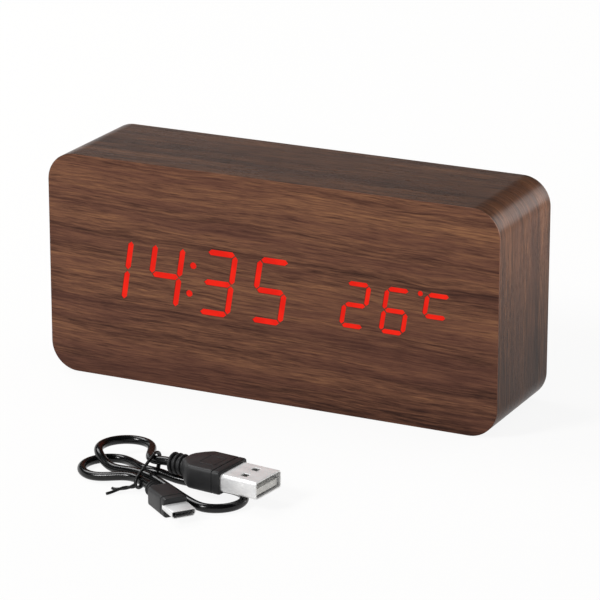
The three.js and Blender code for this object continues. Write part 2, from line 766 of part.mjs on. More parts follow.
function displayBoard() {
  const holeRadius = SMALL_SCREW_RADIUS + SCREW_CLEARANCE;
  const holes = displayScrewPlaces.map(([x, z]) => regularPolygon(holeRadius, SMALL_HOLE_SIDES, x, z));
  return plate(withHoles(displayOutline(), holes), DISPLAY_BOARD_FRONT_Y, DISPLAY_BOARD_BACK_Y);
}

function displayDriver() {
  const front = DISPLAY_BOARD_BACK_Y + SEAT_GAP;
  return block(
    span(-DRIVER_CHIP_FROM_MIDDLE, DRIVER_CHIP_LENGTH),
    [front, front + DRIVER_CHIP_HEIGHT],
    span(0, DRIVER_CHIP_WIDTH),
  );
}

// A pan-head screw with a cross recess, driven towards the front
function screw(x, z, seatY, length, radius, headRadius, headHeight) {
  const headBack = seatY + headHeight;
  const body = turned([
    [0, seatY - length],
    [radius / 2, seatY - length],
    [radius, seatY - length + radius],
    [radius, seatY],
    [headRadius, seatY],
    [headRadius, seatY + headHeight / 2],
    [headRadius * HEAD_CROWN_SHARE, headBack],
    [0, headBack],
  ], x, z, SMALL_HOLE_SIDES);
  const arm = headRadius * 2 * CROSS_RECESS_SHARE;
  const depth = [headBack - CROSS_RECESS_DEPTH, headBack + CUT_OVERRUN];
  return cut(
    body,
    block(span(x, arm), depth, span(z, CROSS_RECESS_WIDTH)),
    block(span(x, CROSS_RECESS_WIDTH), depth, span(z, arm)),
  );
}

function displayScrew([x, z]) {
  return screw(
    x,
    z,
    DISPLAY_BOARD_BACK_Y + SEAT_GAP,
    SMALL_SCREW_LENGTH,
    SMALL_SCREW_RADIUS,
    SMALL_SCREW_HEAD_RADIUS,
    SMALL_SCREW_HEAD_HEIGHT,
  );
}

// Battery bay in the rear cover

const BAY_X = -COVER_WIDTH * BAY_PLACE_SHARE;
const BAY_HEIGHT = BATTERY_COUNT * BATTERY_PITCH + 2 * BAY_END_CLEARANCE;
const BATTERY_Y = COVER_INNER_Y - SEAT_GAP - BATTERY_RADIUS;
const BAY_FLOOR_BACK_Y = BATTERY_Y - BATTERY_RADIUS - SLIDING_GAP;
const BAY_FLOOR_FRONT_Y = BAY_FLOOR_BACK_Y - BAY_FLOOR;
const DOOR_WIDTH = BAY_LENGTH + 2 * DOOR_LEDGE;
const DOOR_HEIGHT = BAY_HEIGHT + 2 * DOOR_LEDGE;
const DOOR_INNER_Y = COVER_INNER_Y + DOOR_SEAT;
const DOOR_BOTTOM_Z = -DOOR_HEIGHT / 2;
const doorTonguePlaces = [-1, 1].map((side) => BAY_X + (side * DOOR_TONGUE_SPACING) / 2);
const TONGUE_BACK_Y = COVER_INNER_Y - SEAT_GAP;
const TONGUE_FRONT_Y = TONGUE_BACK_Y - DOOR_TONGUE_THICKNESS;
const TONGUE_SWING = Math.hypot(COVER_OUTER_Y - TONGUE_FRONT_Y, DOOR_TONGUE_LENGTH) + SLIDING_GAP;

// Contact plates stand in the ends of the bay, and springs fill what the cells leave
const CONTACT_REACH = BAY_LENGTH / 2 - SEAT_GAP;
const CONTACT_FACE = CONTACT_REACH - CONTACT_THICKNESS;
const SPRING_LENGTH = 2 * CONTACT_FACE - BATTERY_LENGTH - 2 * SEAT_GAP - SPRING_WIRE_RADIUS;

function batteryPlaceZ(index) {
  return (index - (BATTERY_COUNT - 1) / 2) * BATTERY_PITCH;
}

// Positive end to the right on even cells, to the left on odd ones
function battery(index) {
  const half = BATTERY_LENGTH / 2;
  const shoulder = half - BATTERY_NUB_LENGTH;
  const cell = turned([
    [0, -half],
    [BATTERY_WASHER_RADIUS, -half],
    [BATTERY_RADIUS, -half + BATTERY_EDGE],
    [BATTERY_RADIUS, shoulder - BATTERY_EDGE],
    [BATTERY_WASHER_RADIUS, shoulder],
    [BATTERY_NUB_RADIUS, shoulder],
    [BATTERY_NUB_RADIUS, half],
    [0, half],
  ], 0, 0);
  const side = index % 2 === 0 ? 1 : -1;
  const shift = side * (CONTACT_FACE - SEAT_GAP - half);
  return cell.rotateZ((-side * Math.PI) / 2).translate(BAY_X + shift, BATTERY_Y, batteryPlaceZ(index));
}

function contactPlate(side, fromIndex, toIndex) {
  const outer = BAY_X + side * CONTACT_REACH;
  const inner = outer - side * CONTACT_THICKNESS;
  const low = batteryPlaceZ(fromIndex) - CONTACT_WIDTH / 2;
  const high = batteryPlaceZ(toIndex) + CONTACT_WIDTH / 2;
  return block(
    [Math.min(outer, inner), Math.max(outer, inner)],
    span(BATTERY_Y, CONTACT_WIDTH),
    [low, high],
  );
}

class ConicalSpring extends THREE.Curve {
  getPoint(share, target = new THREE.Vector3()) {
    const angle = 2 * Math.PI * SPRING_COILS * share;
    const radius = THREE.MathUtils.lerp(SPRING_BASE_RADIUS, SPRING_TIP_RADIUS, share);
    return target.set(share * SPRING_LENGTH, radius * Math.cos(angle), radius * Math.sin(angle));
  }
}

function contactSpring(side, index) {
  const steps = SPRING_COILS * SPRING_COIL_STEPS;
  const coil = tube(new ConicalSpring(), SPRING_WIRE_RADIUS, SPRING_WIRE_SIDES, steps);
  const turn = side > 0 ? Math.PI : 0;
  return coil.rotateZ(turn).translate(BAY_X + side * CONTACT_FACE, BATTERY_Y, batteryPlaceZ(index));
}

function negativeContact() {
  return join(contactPlate(-1, 0, 0), contactSpring(-1, 0));
}

function positiveContact() {
  return contactPlate(1, 2, 2);
}

function leftBridge() {
  return join(contactPlate(-1, 1, 2), contactSpring(-1, 2));
}

function rightBridge() {
  return join(contactPlate(1, 0, 1), contactSpring(1, 1));
}

// Rear cover: a moulded panel with the battery bay, the posts for the control board and all its openings

const CONTROL_X = COVER_WIDTH * CONTROL_PLACE_SHARE;
const CONTROL_WIDTH = CASE_WIDTH * CONTROL_WIDTH_SHARE;
const CONTROL_TOP_Z = CONTROL_HEIGHT / 2;
const CONTROL_BOTTOM_Z = -CONTROL_HEIGHT / 2;
const BUTTON_ROW_Z = CONTROL_TOP_Z - BUTTONS_FROM_TOP;
const CONTROL_CHIP_Z = CONTROL_TOP_Z - CONTROL_CHIP_FROM_TOP;
const CRYSTAL_Z = CONTROL_TOP_Z - CRYSTAL_FROM_TOP;
const BUZZER_Z = CONTROL_BOTTOM_Z + BUZZER_FROM_BOTTOM;
const MICROPHONE_Z = CONTROL_BOTTOM_Z + MICROPHONE_FROM_BOTTOM;
const SENSOR_Z = CONTROL_BOTTOM_Z + SENSOR_FROM_BOTTOM;
const CELL_Z = CONTROL_BOTTOM_Z + CELL_FROM_BOTTOM;
const CONTROL_CONNECTOR_Z = CONTROL_BOTTOM_Z + CONNECTOR_FROM_BOTTOM;
const CONTROL_BACK_Y = COVER_INNER_Y - CONTROL_BEHIND_COVER;
const CONTROL_FRONT_Y = CONTROL_BACK_Y - BOARD_THICKNESS;
const buttonPlaces = [0, 1, 2].map((index) => [
  CONTROL_X + CONTROL_WIDTH * (FIRST_BUTTON_SHARE + index * BUTTON_PITCH_SHARE),
  BUTTON_ROW_Z,
]);
const postPlaces = [-1, 1].flatMap((side) => [-1, 1].map((level) => [
  CONTROL_X + side * (CONTROL_WIDTH / 2 - POST_INSET_X),
  level * (CONTROL_HEIGHT / 2 - POST_INSET_Z),
]));
const SOCKET_X = CONTROL_X + CONTROL_WIDTH * SOCKET_PLACE_SHARE;
const BUZZER_X = CONTROL_X + CONTROL_WIDTH * BUZZER_PLACE_SHARE;
const MICROPHONE_X = CONTROL_X + CONTROL_WIDTH * MICROPHONE_PLACE_SHARE;
const SENSOR_X = CONTROL_X + CONTROL_WIDTH * SENSOR_PLACE_SHARE;
const CONTROL_CHIP_X = CONTROL_X + CONTROL_WIDTH * CONTROL_CHIP_PLACE_SHARE;
const CRYSTAL_X = CONTROL_X + CONTROL_WIDTH * CRYSTAL_PLACE_SHARE;
const CELL_X = CONTROL_X + CONTROL_WIDTH * CELL_PLACE_SHARE;
const RIBBON_X = CONTROL_X + CONTROL_WIDTH * CONNECTOR_PLACE_SHARE;

function soundHoles() {
  const ring = Array.from({ length: SOUND_HOLE_COUNT }, (_, index) => {
    const angle = (2 * Math.PI * index) / SOUND_HOLE_COUNT;
    return [
      BUZZER_X + SOUND_HOLE_RING_RADIUS * Math.cos(angle),
      BUZZER_Z + SOUND_HOLE_RING_RADIUS * Math.sin(angle),
    ];
  });
  const centres = [[BUZZER_X, BUZZER_Z], ...ring];
  return centres.map(([x, z]) => regularPolygon(SOUND_HOLE_RADIUS, SMALL_HOLE_SIDES, x, z));
}

function ventSlots() {
  const endRadius = VENT_SLOT_HEIGHT / 2;
  return Array.from({ length: VENT_SLOT_COUNT }, (_, index) => {
    const z = SENSOR_Z + (index - (VENT_SLOT_COUNT - 1) / 2) * VENT_SLOT_PITCH;
    return roundedRectangle(VENT_SLOT_LENGTH, VENT_SLOT_HEIGHT, endRadius, SENSOR_X, z);
  });
}

function coverPanel() {
  const outline = roundedRectangle(COVER_WIDTH, COVER_HEIGHT, COVER_CORNER_RADIUS);
  const doorway = roundedRectangle(
    DOOR_WIDTH + 2 * SLIDING_GAP,
    DOOR_HEIGHT + 2 * SLIDING_GAP,
    DOOR_CORNER_RADIUS + SLIDING_GAP,
    BAY_X,
  );
  const buttonHoles = buttonPlaces.map(([x, z]) => (
    regularPolygon(BUTTON_RADIUS + SLIDING_GAP, ROUND_SIDES, x, z)
  ));
  const screwHoles = coverScrewPlaces.map(([x, z]) => (
    regularPolygon(COVER_SCREW_RADIUS + SCREW_CLEARANCE, HOLE_SIDES, x, z)
  ));
  const socketSlot = chamferedRectangle(
    SOCKET_WIDTH + 2 * SOCKET_SLOT_MARGIN,
    SOCKET_HEIGHT + 2 * SOCKET_SLOT_MARGIN,
    SOCKET_CHAMFER,
    SOCKET_X,
    BUTTON_ROW_Z,
  );
  const microphoneHole = regularPolygon(
    MICROPHONE_PORT_RADIUS,
    SMALL_HOLE_SIDES,
    MICROPHONE_X,
    MICROPHONE_Z,
  );
  const bigHoles = [doorway, ...buttonHoles, ...screwHoles, socketSlot];
  const smallHoles = [microphoneHole, ...soundHoles(), ...ventSlots()];
  return plate(withHoles(outline, [...bigHoles, ...smallHoles]), COVER_INNER_Y, COVER_OUTER_Y);
}

function bayWalls() {
  const outer = roundedRectangle(BAY_LENGTH + 2 * BAY_WALL, BAY_HEIGHT + 2 * BAY_WALL, BAY_WALL, BAY_X);
  const inner = roundedRectangle(BAY_LENGTH, BAY_HEIGHT, DOOR_CORNER_RADIUS, BAY_X);
  return plate(withHoles(outer, [inner]), BAY_FLOOR_FRONT_Y, COVER_INNER_Y + JOIN_DEPTH / 2);
}

function bayFloor() {
  const outline = roundedRectangle(BAY_LENGTH + BAY_WALL, BAY_HEIGHT + BAY_WALL, DOOR_CORNER_RADIUS, BAY_X);
  return plate(outline, BAY_FLOOR_FRONT_Y, BAY_FLOOR_BACK_Y);
}

// A post with a pin that goes through the control board
function boardPost([x, z]) {
  const seat = CONTROL_BACK_Y + SEAT_GAP;
  return turned([
    [0, CONTROL_FRONT_Y - POST_PIN_STAND],
    [POST_PIN_RADIUS, CONTROL_FRONT_Y - POST_PIN_STAND],
    [POST_PIN_RADIUS, seat],
    [POST_RADIUS, seat],
    [POST_RADIUS, COVER_INNER_Y + JOIN_DEPTH],
    [0, COVER_INNER_Y + JOIN_DEPTH],
  ], x, z, SMALL_HOLE_SIDES);
}

function rearCover() {
  const notchTop = -BAY_HEIGHT / 2 + CUT_OVERRUN;
  const notches = doorTonguePlaces.flatMap((x) => {
    const width = span(x, DOOR_TONGUE_WIDTH + 2 * SLIDING_GAP);
    const deepest = COVER_OUTER_Y - TONGUE_SWING;
    return [
      block(width, [deepest, COVER_INNER_Y], [DOOR_BOTTOM_Z - DOOR_TONGUE_LENGTH - SLIDING_GAP, notchTop]),
      block(width, [deepest, DOOR_INNER_Y], [DOOR_BOTTOM_Z - SLIDING_GAP, notchTop]),
    ];
  });
  const doorTop = DOOR_HEIGHT / 2;
  const fingerRecess = bar(
    FINGER_RECESS_RADIUS,
    BAY_X,
    doorTop,
    COVER_OUTER_Y - FINGER_RECESS_DEPTH,
    COVER_OUTER_Y + CUT_OVERRUN,
    ROUND_SIDES,
  );
  const moulded = join(coverPanel(), bayWalls(), bayFloor(), ...postPlaces.map(boardPost));
  return cut(moulded, ...notches, fingerRecess);
}

function batteryDoor() {
  const lid = plate(
    roundedRectangle(DOOR_WIDTH, DOOR_HEIGHT, DOOR_CORNER_RADIUS, BAY_X),
    DOOR_INNER_Y,
    COVER_OUTER_Y,
  );
  const rootTop = DOOR_BOTTOM_Z + DOOR_LEDGE + DOOR_TONGUE_LENGTH;
  const tongues = doorTonguePlaces.flatMap((x) => [
    block(
      span(x, DOOR_TONGUE_WIDTH),
      [TONGUE_FRONT_Y, TONGUE_BACK_Y],
      [DOOR_BOTTOM_Z - DOOR_TONGUE_LENGTH, rootTop],
    ),
    block(
      span(x, DOOR_TONGUE_WIDTH),
      [TONGUE_BACK_Y - JOIN_DEPTH, DOOR_INNER_Y + JOIN_DEPTH],
      [DOOR_BOTTOM_Z + SLIDING_GAP, rootTop],
    ),
  ]);
  const ribs = Array.from({ length: DOOR_RIB_COUNT }, (_, index) => block(
    span(BAY_X, DOOR_RIB_WIDTH),
    [COVER_OUTER_Y - JOIN_DEPTH, COVER_OUTER_Y + DOOR_RIB_DEPTH],
    span(DOOR_HEIGHT / 2 - (index + 2) * DOOR_RIB_PITCH, DOOR_RIB_HEIGHT),
  ));
  return join(lid, ...tongues, ...ribs);
}

function coverScrew([x, z]) {
  return screw(
    x,
    z,
    COVER_OUTER_Y + SEAT_GAP,
    COVER_SCREW_LENGTH,
    COVER_SCREW_RADIUS,
    COVER_SCREW_HEAD_RADIUS,
    COVER_SCREW_HEAD_HEIGHT,
  );
}

// Control board, with parts standing on both of its sides

const SWITCH_FRONT_Y = CONTROL_BACK_Y + SEAT_GAP;
const SWITCH_BACK_Y = SWITCH_FRONT_Y + SWITCH_HEIGHT;
const PLUNGER_BACK_Y = SWITCH_BACK_Y + PLUNGER_STAND;
const BUTTON_FRONT_Y = PLUNGER_BACK_Y + GLUE_LINE;
const BUTTON_FLANGE_BACK_Y = COVER_INNER_Y - SEAT_GAP;
const BUTTON_FLANGE_FRONT_Y = BUTTON_FLANGE_BACK_Y - BUTTON_FLANGE_THICKNESS;
const BUTTON_BACK_Y = COVER_OUTER_Y + BUTTON_STAND;
const BEHIND_BOARD_Y = CONTROL_BACK_Y + SEAT_GAP;
const BEFORE_BOARD_Y = CONTROL_FRONT_Y - SEAT_GAP;

function controlBoard() {
  const outline = roundedRectangle(CONTROL_WIDTH, CONTROL_HEIGHT, MASK_CORNER_RADIUS, CONTROL_X);
  const holeRadius = POST_PIN_RADIUS + SCREW_CLEARANCE;
  const holes = postPlaces.map(([x, z]) => regularPolygon(holeRadius, SMALL_HOLE_SIDES, x, z));
  return plate(withHoles(outline, holes), CONTROL_FRONT_Y, CONTROL_BACK_Y);
}

function switchBody([x, z]) {
  return cut(
    block(span(x, SWITCH_SIZE), [SWITCH_FRONT_Y, SWITCH_BACK_Y], span(z, SWITCH_SIZE)),
    bar(PLUNGER_RADIUS + SLIDING_GAP, x, z, SWITCH_BACK_Y - SWITCH_WELL_DEPTH - BUTTON_TRAVEL, BACK_Y),
  );
}

function switchPlunger([x, z]) {
  return bar(PLUNGER_RADIUS, x, z, PLUNGER_BACK_Y - PLUNGER_HEIGHT, PLUNGER_BACK_Y);
}

function button([x, z]) {
  return turned([
    [0, BUTTON_FRONT_Y],
    [BUTTON_STEM_RADIUS, BUTTON_FRONT_Y],
    [BUTTON_STEM_RADIUS, BUTTON_FLANGE_FRONT_Y],
    [BUTTON_FLANGE_RADIUS, BUTTON_FLANGE_FRONT_Y],
    [BUTTON_FLANGE_RADIUS, BUTTON_FLANGE_BACK_Y],
    [BUTTON_RADIUS, BUTTON_FLANGE_BACK_Y],
    [BUTTON_RADIUS, BUTTON_BACK_Y - BUTTON_EDGE],
    [BUTTON_RADIUS - BUTTON_EDGE, BUTTON_BACK_Y],
    [0, BUTTON_BACK_Y],
  ], x, z);
}

function socketShell() {
  const outer = chamferedRectangle(SOCKET_WIDTH, SOCKET_HEIGHT, SOCKET_CHAMFER, SOCKET_X, BUTTON_ROW_Z);
  const inner = chamferedRectangle(
    SOCKET_WIDTH - 2 * SOCKET_WALL,
    SOCKET_HEIGHT - 2 * SOCKET_WALL,
    SOCKET_CHAMFER,
    SOCKET_X,
    BUTTON_ROW_Z,
  );
  return plate(withHoles(outer, [inner]), BEHIND_BOARD_Y, BEHIND_BOARD_Y + SOCKET_DEPTH);
}

function socketTongue() {
  const fit = SOCKET_WALL + SEAT_GAP;
  const base = chamferedRectangle(
    SOCKET_WIDTH - 2 * fit,
    SOCKET_HEIGHT - 2 * fit,
    SOCKET_CHAMFER,
    SOCKET_X,
    BUTTON_ROW_Z,
  );
  return join(
    plate(base, BEHIND_BOARD_Y, BEHIND_BOARD_Y + SOCKET_BASE_LENGTH),
    block(
      span(SOCKET_X, SOCKET_TONGUE_WIDTH),
      [BEHIND_BOARD_Y + SOCKET_BASE_LENGTH - JOIN_DEPTH, BEHIND_BOARD_Y + SOCKET_TONGUE_LENGTH],
      span(BUTTON_ROW_Z, SOCKET_TONGUE_THICKNESS),
    ),
  );
}

function buzzer() {
  const back = BEHIND_BOARD_Y + BUZZER_HEIGHT;
  return turned([
    [0, BEHIND_BOARD_Y],
    [BUZZER_RADIUS, BEHIND_BOARD_Y],
    [BUZZER_RADIUS, back],
    [BUZZER_HOLE_RADIUS, back],
    [BUZZER_HOLE_RADIUS, back - BUZZER_HOLE_DEPTH],
    [0, back - BUZZER_HOLE_DEPTH],
  ], BUZZER_X, BUZZER_Z);
}

function microphone() {
  const back = BEHIND_BOARD_Y + MICROPHONE_HEIGHT;
  return turned([
    [0, BEHIND_BOARD_Y],
    [MICROPHONE_RADIUS, BEHIND_BOARD_Y],
    [MICROPHONE_RADIUS, back],
    [MICROPHONE_PORT_RADIUS, back],
    [MICROPHONE_PORT_RADIUS, back - MICROPHONE_PORT_DEPTH],
    [0, back - MICROPHONE_PORT_DEPTH],
  ], MICROPHONE_X, MICROPHONE_Z);
}

// A bead on two legs, near the vent slots
function temperatureSensor() {
  const beadY = BEHIND_BOARD_Y + SENSOR_STAND;
  const bead = new THREE.SphereGeometry(SENSOR_RADIUS, SMALL_HOLE_SIDES, SMALL_HOLE_SIDES / 2);
  const legs = [-1, 1].map((side) => {
    const legX = SENSOR_X + (side * SENSOR_LEG_SPACING) / 2;
    return bar(SENSOR_LEG_RADIUS, legX, SENSOR_Z, BEHIND_BOARD_Y, beadY, WIRE_SIDES);
  });
  return join(bead.translate(SENSOR_X, beadY, SENSOR_Z), ...legs);
}

function controlChip() {
  return block(
    span(CONTROL_CHIP_X, CONTROL_CHIP_WIDTH),
    [BEFORE_BOARD_Y - CONTROL_CHIP_THICKNESS, BEFORE_BOARD_Y],
    span(CONTROL_CHIP_Z, CONTROL_CHIP_HEIGHT),
  );
}

function clockCrystal() {
  const can = new THREE.CylinderGeometry(CRYSTAL_RADIUS, CRYSTAL_RADIUS, CRYSTAL_LENGTH, HOLE_SIDES);
  const y = BEFORE_BOARD_Y - CRYSTAL_RADIUS;
  return can.rotateZ(Math.PI / 2).translate(CRYSTAL_X, y, CRYSTAL_Z);
}

function backupCellHolder() {
  const reach = CELL_RADIUS + SLIDING_GAP;
  const floor = BEFORE_BOARD_Y - CELL_HOLDER_FLOOR;
  const front = floor - CELL_THICKNESS;
  const cup = bar(reach + CELL_HOLDER_WALL, CELL_X, CELL_Z, front, BEFORE_BOARD_Y, BIG_ROUND_SIDES);
  const pocket = bar(reach, CELL_X, CELL_Z, front - CUT_OVERRUN, floor, BIG_ROUND_SIDES);
  return cut(cup, pocket);
}

function backupCell() {
  const back = BEFORE_BOARD_Y - CELL_HOLDER_FLOOR - SEAT_GAP;
  const front = back - CELL_THICKNESS;
  return turned([
    [0, front],
    [CELL_RADIUS - 2 * CELL_EDGE, front],
    [CELL_RADIUS - CELL_EDGE, front + CELL_EDGE],
    [CELL_RADIUS, front + 2 * CELL_EDGE],
    [CELL_RADIUS, back],
    [0, back],
  ], CELL_X, CELL_Z, BIG_ROUND_SIDES);
}

// Ribbon cable between the two boards, in a slotted connector at each end

const DISPLAY_CONNECTOR_Y = DISPLAY_BOARD_BACK_Y + SEAT_GAP;
const CONTROL_CONNECTOR_Y = BEFORE_BOARD_Y - CONNECTOR_DEPTH;

function connector(frontY, slotFrontY, z) {
  return cut(
    block(span(RIBBON_X, CONNECTOR_WIDTH), [frontY, frontY + CONNECTOR_DEPTH], span(z, CONNECTOR_HEIGHT)),
    block(
      span(RIBBON_X, RIBBON_WIDTH + 2 * SLIDING_GAP),
      [slotFrontY, slotFrontY + CONNECTOR_SLOT_DEPTH + CUT_OVERRUN],
      span(z, RIBBON_THICKNESS + 2 * SLIDING_GAP),
    ),
  );
}

function displayConnector() {
  const slotFront = DISPLAY_CONNECTOR_Y + CONNECTOR_DEPTH - CONNECTOR_SLOT_DEPTH;
  return connector(DISPLAY_CONNECTOR_Y, slotFront, DISPLAY_CONNECTOR_Z);
}

function controlConnector() {
  return connector(CONTROL_CONNECTOR_Y, CONTROL_CONNECTOR_Y - CUT_OVERRUN, CONTROL_CONNECTOR_Z);
}

function ribbonCable() {
  const start = DISPLAY_CONNECTOR_Y + CONNECTOR_DEPTH - RIBBON_PLUG_DEPTH;
  const end = CONTROL_CONNECTOR_Y + RIBBON_PLUG_DEPTH;
  const middle = (start + end) / 2;
  const line = new THREE.CubicBezierCurve(
    new THREE.Vector2(start + RIBBON_STRAIGHT, DISPLAY_CONNECTOR_Z),
    new THREE.Vector2(middle + RIBBON_STRAIGHT, DISPLAY_CONNECTOR_Z),
    new THREE.Vector2(middle - RIBBON_STRAIGHT, CONTROL_CONNECTOR_Z),
    new THREE.Vector2(end - RIBBON_STRAIGHT, CONTROL_CONNECTOR_Z),
  );
  const steps = Array.from({ length: RIBBON_STEPS + 1 }, (_, step) => step / RIBBON_STEPS);
  const side = (direction) => steps.map((share) => {
    const tangent = line.getTangent(share);
    const point = line.getPoint(share);
    const offset = (direction * RIBBON_THICKNESS) / 2;
    return [point.x - tangent.y * offset, point.y + tangent.x * offset];
  });
  const half = RIBBON_THICKNESS / 2;
  const outline = polygon([
    [start, DISPLAY_CONNECTOR_Z - half],
    ...side(-1),
    [end, CONTROL_CONNECTOR_Z - half],
    [end, CONTROL_CONNECTOR_Z + half],
    ...side(1).reverse(),
    [start, DISPLAY_CONNECTOR_Z + half],
  ]);
  const band = new THREE.ExtrudeGeometry(outline, { depth: RIBBON_WIDTH, bevelEnabled: false });
  return band.rotateY(Math.PI / 2).rotateX(Math.PI / 2).translate(RIBBON_X - RIBBON_WIDTH / 2, 0, 0);
}

// Wires from the battery contacts, along the front of the bay, to the control board
function batteryWire(side, index) {
  const startX = BAY_X + side * (BAY_LENGTH / 2 - CONTACT_WIDTH);
  const z = batteryPlaceZ(index);
  const bayFace = BAY_FLOOR_FRONT_Y - WIRE_DEPTH;
  const boardEdge = CONTROL_X - CONTROL_WIDTH / 2;
  const pad = boardEdge + POST_INSET_X;
  return tube(route([
    [startX, BAY_FLOOR_FRONT_Y - SEAT_GAP, z],
    [startX, bayFace, z],
    [startX + WIRE_DEPTH, bayFace, z],
    [(startX + boardEdge) / 2, bayFace, z],
    [pad - WIRE_DEPTH, bayFace, z],
    [pad, bayFace, z],
    [pad, BEFORE_BOARD_Y, z],
  ]), WIRE_RADIUS, WIRE_SIDES, WIRE_STEPS);
}

// Lead. Its hank lies on the surface that the clock stands on: X to the plugs, Y away from the viewer

const CORD_RADIUS = CORD_DIAMETER / 2;
const STRAND_PITCH = CORD_DIAMETER + STRAND_GAP;
const WAIST_Z = CORD_RADIUS + TIE_THICKNESS + TIE_GAP;
const CROSSING_Z = CORD_RADIUS + CORD_DIAMETER + CROSSING_CLEARANCE;
const UPPER_STRAND_Z = WAIST_Z + STRAND_PITCH * Math.sin(Math.PI / 3);
const PLUG_A_Z = CORD_DIAMETER + PLUG_A_LIFT + PLUG_A_THICKNESS / 2;
const PLUG_B_Z = PLUG_B_THICKNESS / 2 + GLUE_LINE;

// Control points of one loop. The route runs inside its control points by a known share, made up for here
function loopPoints(loop, heightAt) {
  const { x, y, fromDegrees, toDegrees } = loop;
  const step = THREE.MathUtils.degToRad((toDegrees - fromDegrees) / LOOP_POINTS);
  const radius = (3 * LOOP_RADIUS) / (2 + Math.cos(step));
  return Array.from({ length: LOOP_POINTS + 1 }, (_, index) => {
    const angle = THREE.MathUtils.degToRad(fromDegrees) + index * step;
    return [x + radius * Math.cos(angle), y + radius * Math.sin(angle), heightAt(index / LOOP_POINTS)];
  });
}

// Straight run of cord behind a plug, listed from the plug outwards
function plugRun(x, y, z, turn) {
  return [0, CORD_RADIUS, CORD_DIAMETER].map((back) => {
    const distance = CORD_END_GAP + back;
    return [x - distance * Math.cos(turn), y - distance * Math.sin(turn), z];
  });
}

const onSurface = () => CORD_RADIUS;
const comingDown = (share) => (
  CROSSING_Z + (CORD_RADIUS - CROSSING_Z) * THREE.MathUtils.smoothstep(share, CROSSING_SHARE, 1)
);

// Three loops wound the same way and drawn in at the waist, from the USB-A plug to the micro-USB plug
const cordRoute = route([
  ...plugRun(PLUG_A_X, PLUG_A_Y, PLUG_A_Z, PLUG_A_TURN),
  [2.6, 3.6, UPPER_STRAND_Z + UNDER_PLUG_RISE],
  [-1, 5.8, UPPER_STRAND_Z],
  ...loopPoints(UPPER_LEFT_LOOP, comingDown),
  [-5, 0.7, WAIST_Z],
  [0, 0, WAIST_Z],
  [5, -1.4, WAIST_Z],
  ...loopPoints(RIGHT_LOOP, onSurface),
  [15, STRAND_PITCH, CORD_RADIUS],
  [9.5, STRAND_PITCH, CORD_RADIUS],
  [4.5, STRAND_PITCH, WAIST_Z],
  [0.5, STRAND_PITCH, WAIST_Z],
  [-3, 4.4, WAIST_Z],
  ...loopPoints(LOWER_LEFT_LOOP, onSurface),
  [-4, -3.5, WAIST_Z],
  [0, -STRAND_PITCH, WAIST_Z],
  ...plugRun(PLUG_B_X, PLUG_B_Y, PLUG_B_Z, PLUG_B_TURN).reverse(),
]);

// The least gap between any two stretches of the cord that aren't neighbours along it
function leastCordGap() {
  const places = cordRoute.getSpacedPoints(Math.round(cordRoute.getLength()));
  const apart = Math.ceil(2 * CORD_DIAMETER);
  let least = Infinity;
  places.forEach((place, index) => {
    places.slice(index + apart).forEach((other) => {
      least = Math.min(least, place.distanceTo(other) - CORD_DIAMETER);
    });
  });
  return least;
}

console.log(`cord length ${cordRoute.getLength().toFixed(1)} mm`);
console.log(`least gap of the cord to itself ${leastCordGap().toFixed(2)} mm, over ${LEAST_CORD_GAP} mm`);

function usbCord() {
  return tube(cordRoute, CORD_RADIUS, CORD_SIDES, CORD_STEPS);
}

// A ribbed neck along X, from its free end at zero
function ribbedNeck(width, length) {
  const pitch = length / NECK_RIB_COUNT;
  const full = width / 2;
  const profile = [[0, 0]];
  for (let rib = 0; rib < NECK_RIB_COUNT; rib += 1) {
    const start = rib * pitch;
    profile.push([full, start], [full, start + pitch / 2]);
    profile.push([full - NECK_RIB_DEPTH, start + pitch / 2], [full - NECK_RIB_DEPTH, start + pitch]);
  }
  profile.push([0, length]);
  return turned(profile, 0, 0, NECK_SIDES).rotateZ(-Math.PI / 2);
}

// The moulded grip of a plug: ribbed neck, sloping shoulders and body, with a seat for its metal shell
function plugGrip(size) {
  const { width, thickness, neckWidth, neckLength, shoulderLength, bodyLength, edge } = size;
  const half = width / 2 - edge;
  const neckHalf = neckWidth / 2 - edge;
  const start = neckLength + edge;
  const shoulder = neckLength + shoulderLength;
  const end = shoulder + bodyLength - edge;
  const outline = polygon([
    [start, -neckHalf],
    [shoulder, -half],
    [end, -half],
    [end, half],
    [shoulder, half],
    [start, neckHalf],
  ]);
  const settings = {
    depth: thickness - 2 * edge,
    bevelEnabled: true,
    bevelSize: edge,
    bevelThickness: edge,
    bevelSegments: 2,
  };
  const body = new THREE.ExtrudeGeometry(outline, settings).translate(0, 0, edge - thickness / 2);
  return join(body, ribbedNeck(neckWidth, neckLength + JOIN_DEPTH));
}

// A folded metal shell along X, open at both ends
function plugShell(outline, fromX, toX) {
  const settings = { depth: toX - fromX, bevelEnabled: false, curveSegments: SMALL_ARC_STEPS };
  const tubeAlongZ = new THREE.ExtrudeGeometry(outline, settings);
  return tubeAlongZ.rotateX(Math.PI / 2).rotateZ(Math.PI / 2).translate(fromX, 0, 0);
}

const PLUG_A_END = PLUG_A_NECK_LENGTH + PLUG_A_SHOULDER_LENGTH + PLUG_A_BODY_LENGTH;
const PLUG_B_END = PLUG_B_NECK_LENGTH + PLUG_B_SHOULDER_LENGTH + PLUG_B_BODY_LENGTH;

function shellSeat(width, height, plugEnd, depth) {
  return block(
    [plugEnd - depth - SEAT_GAP, plugEnd + CUT_OVERRUN],
    span(0, width + 2 * SEAT_GAP),
    span(0, height + 2 * SEAT_GAP),
  );
}

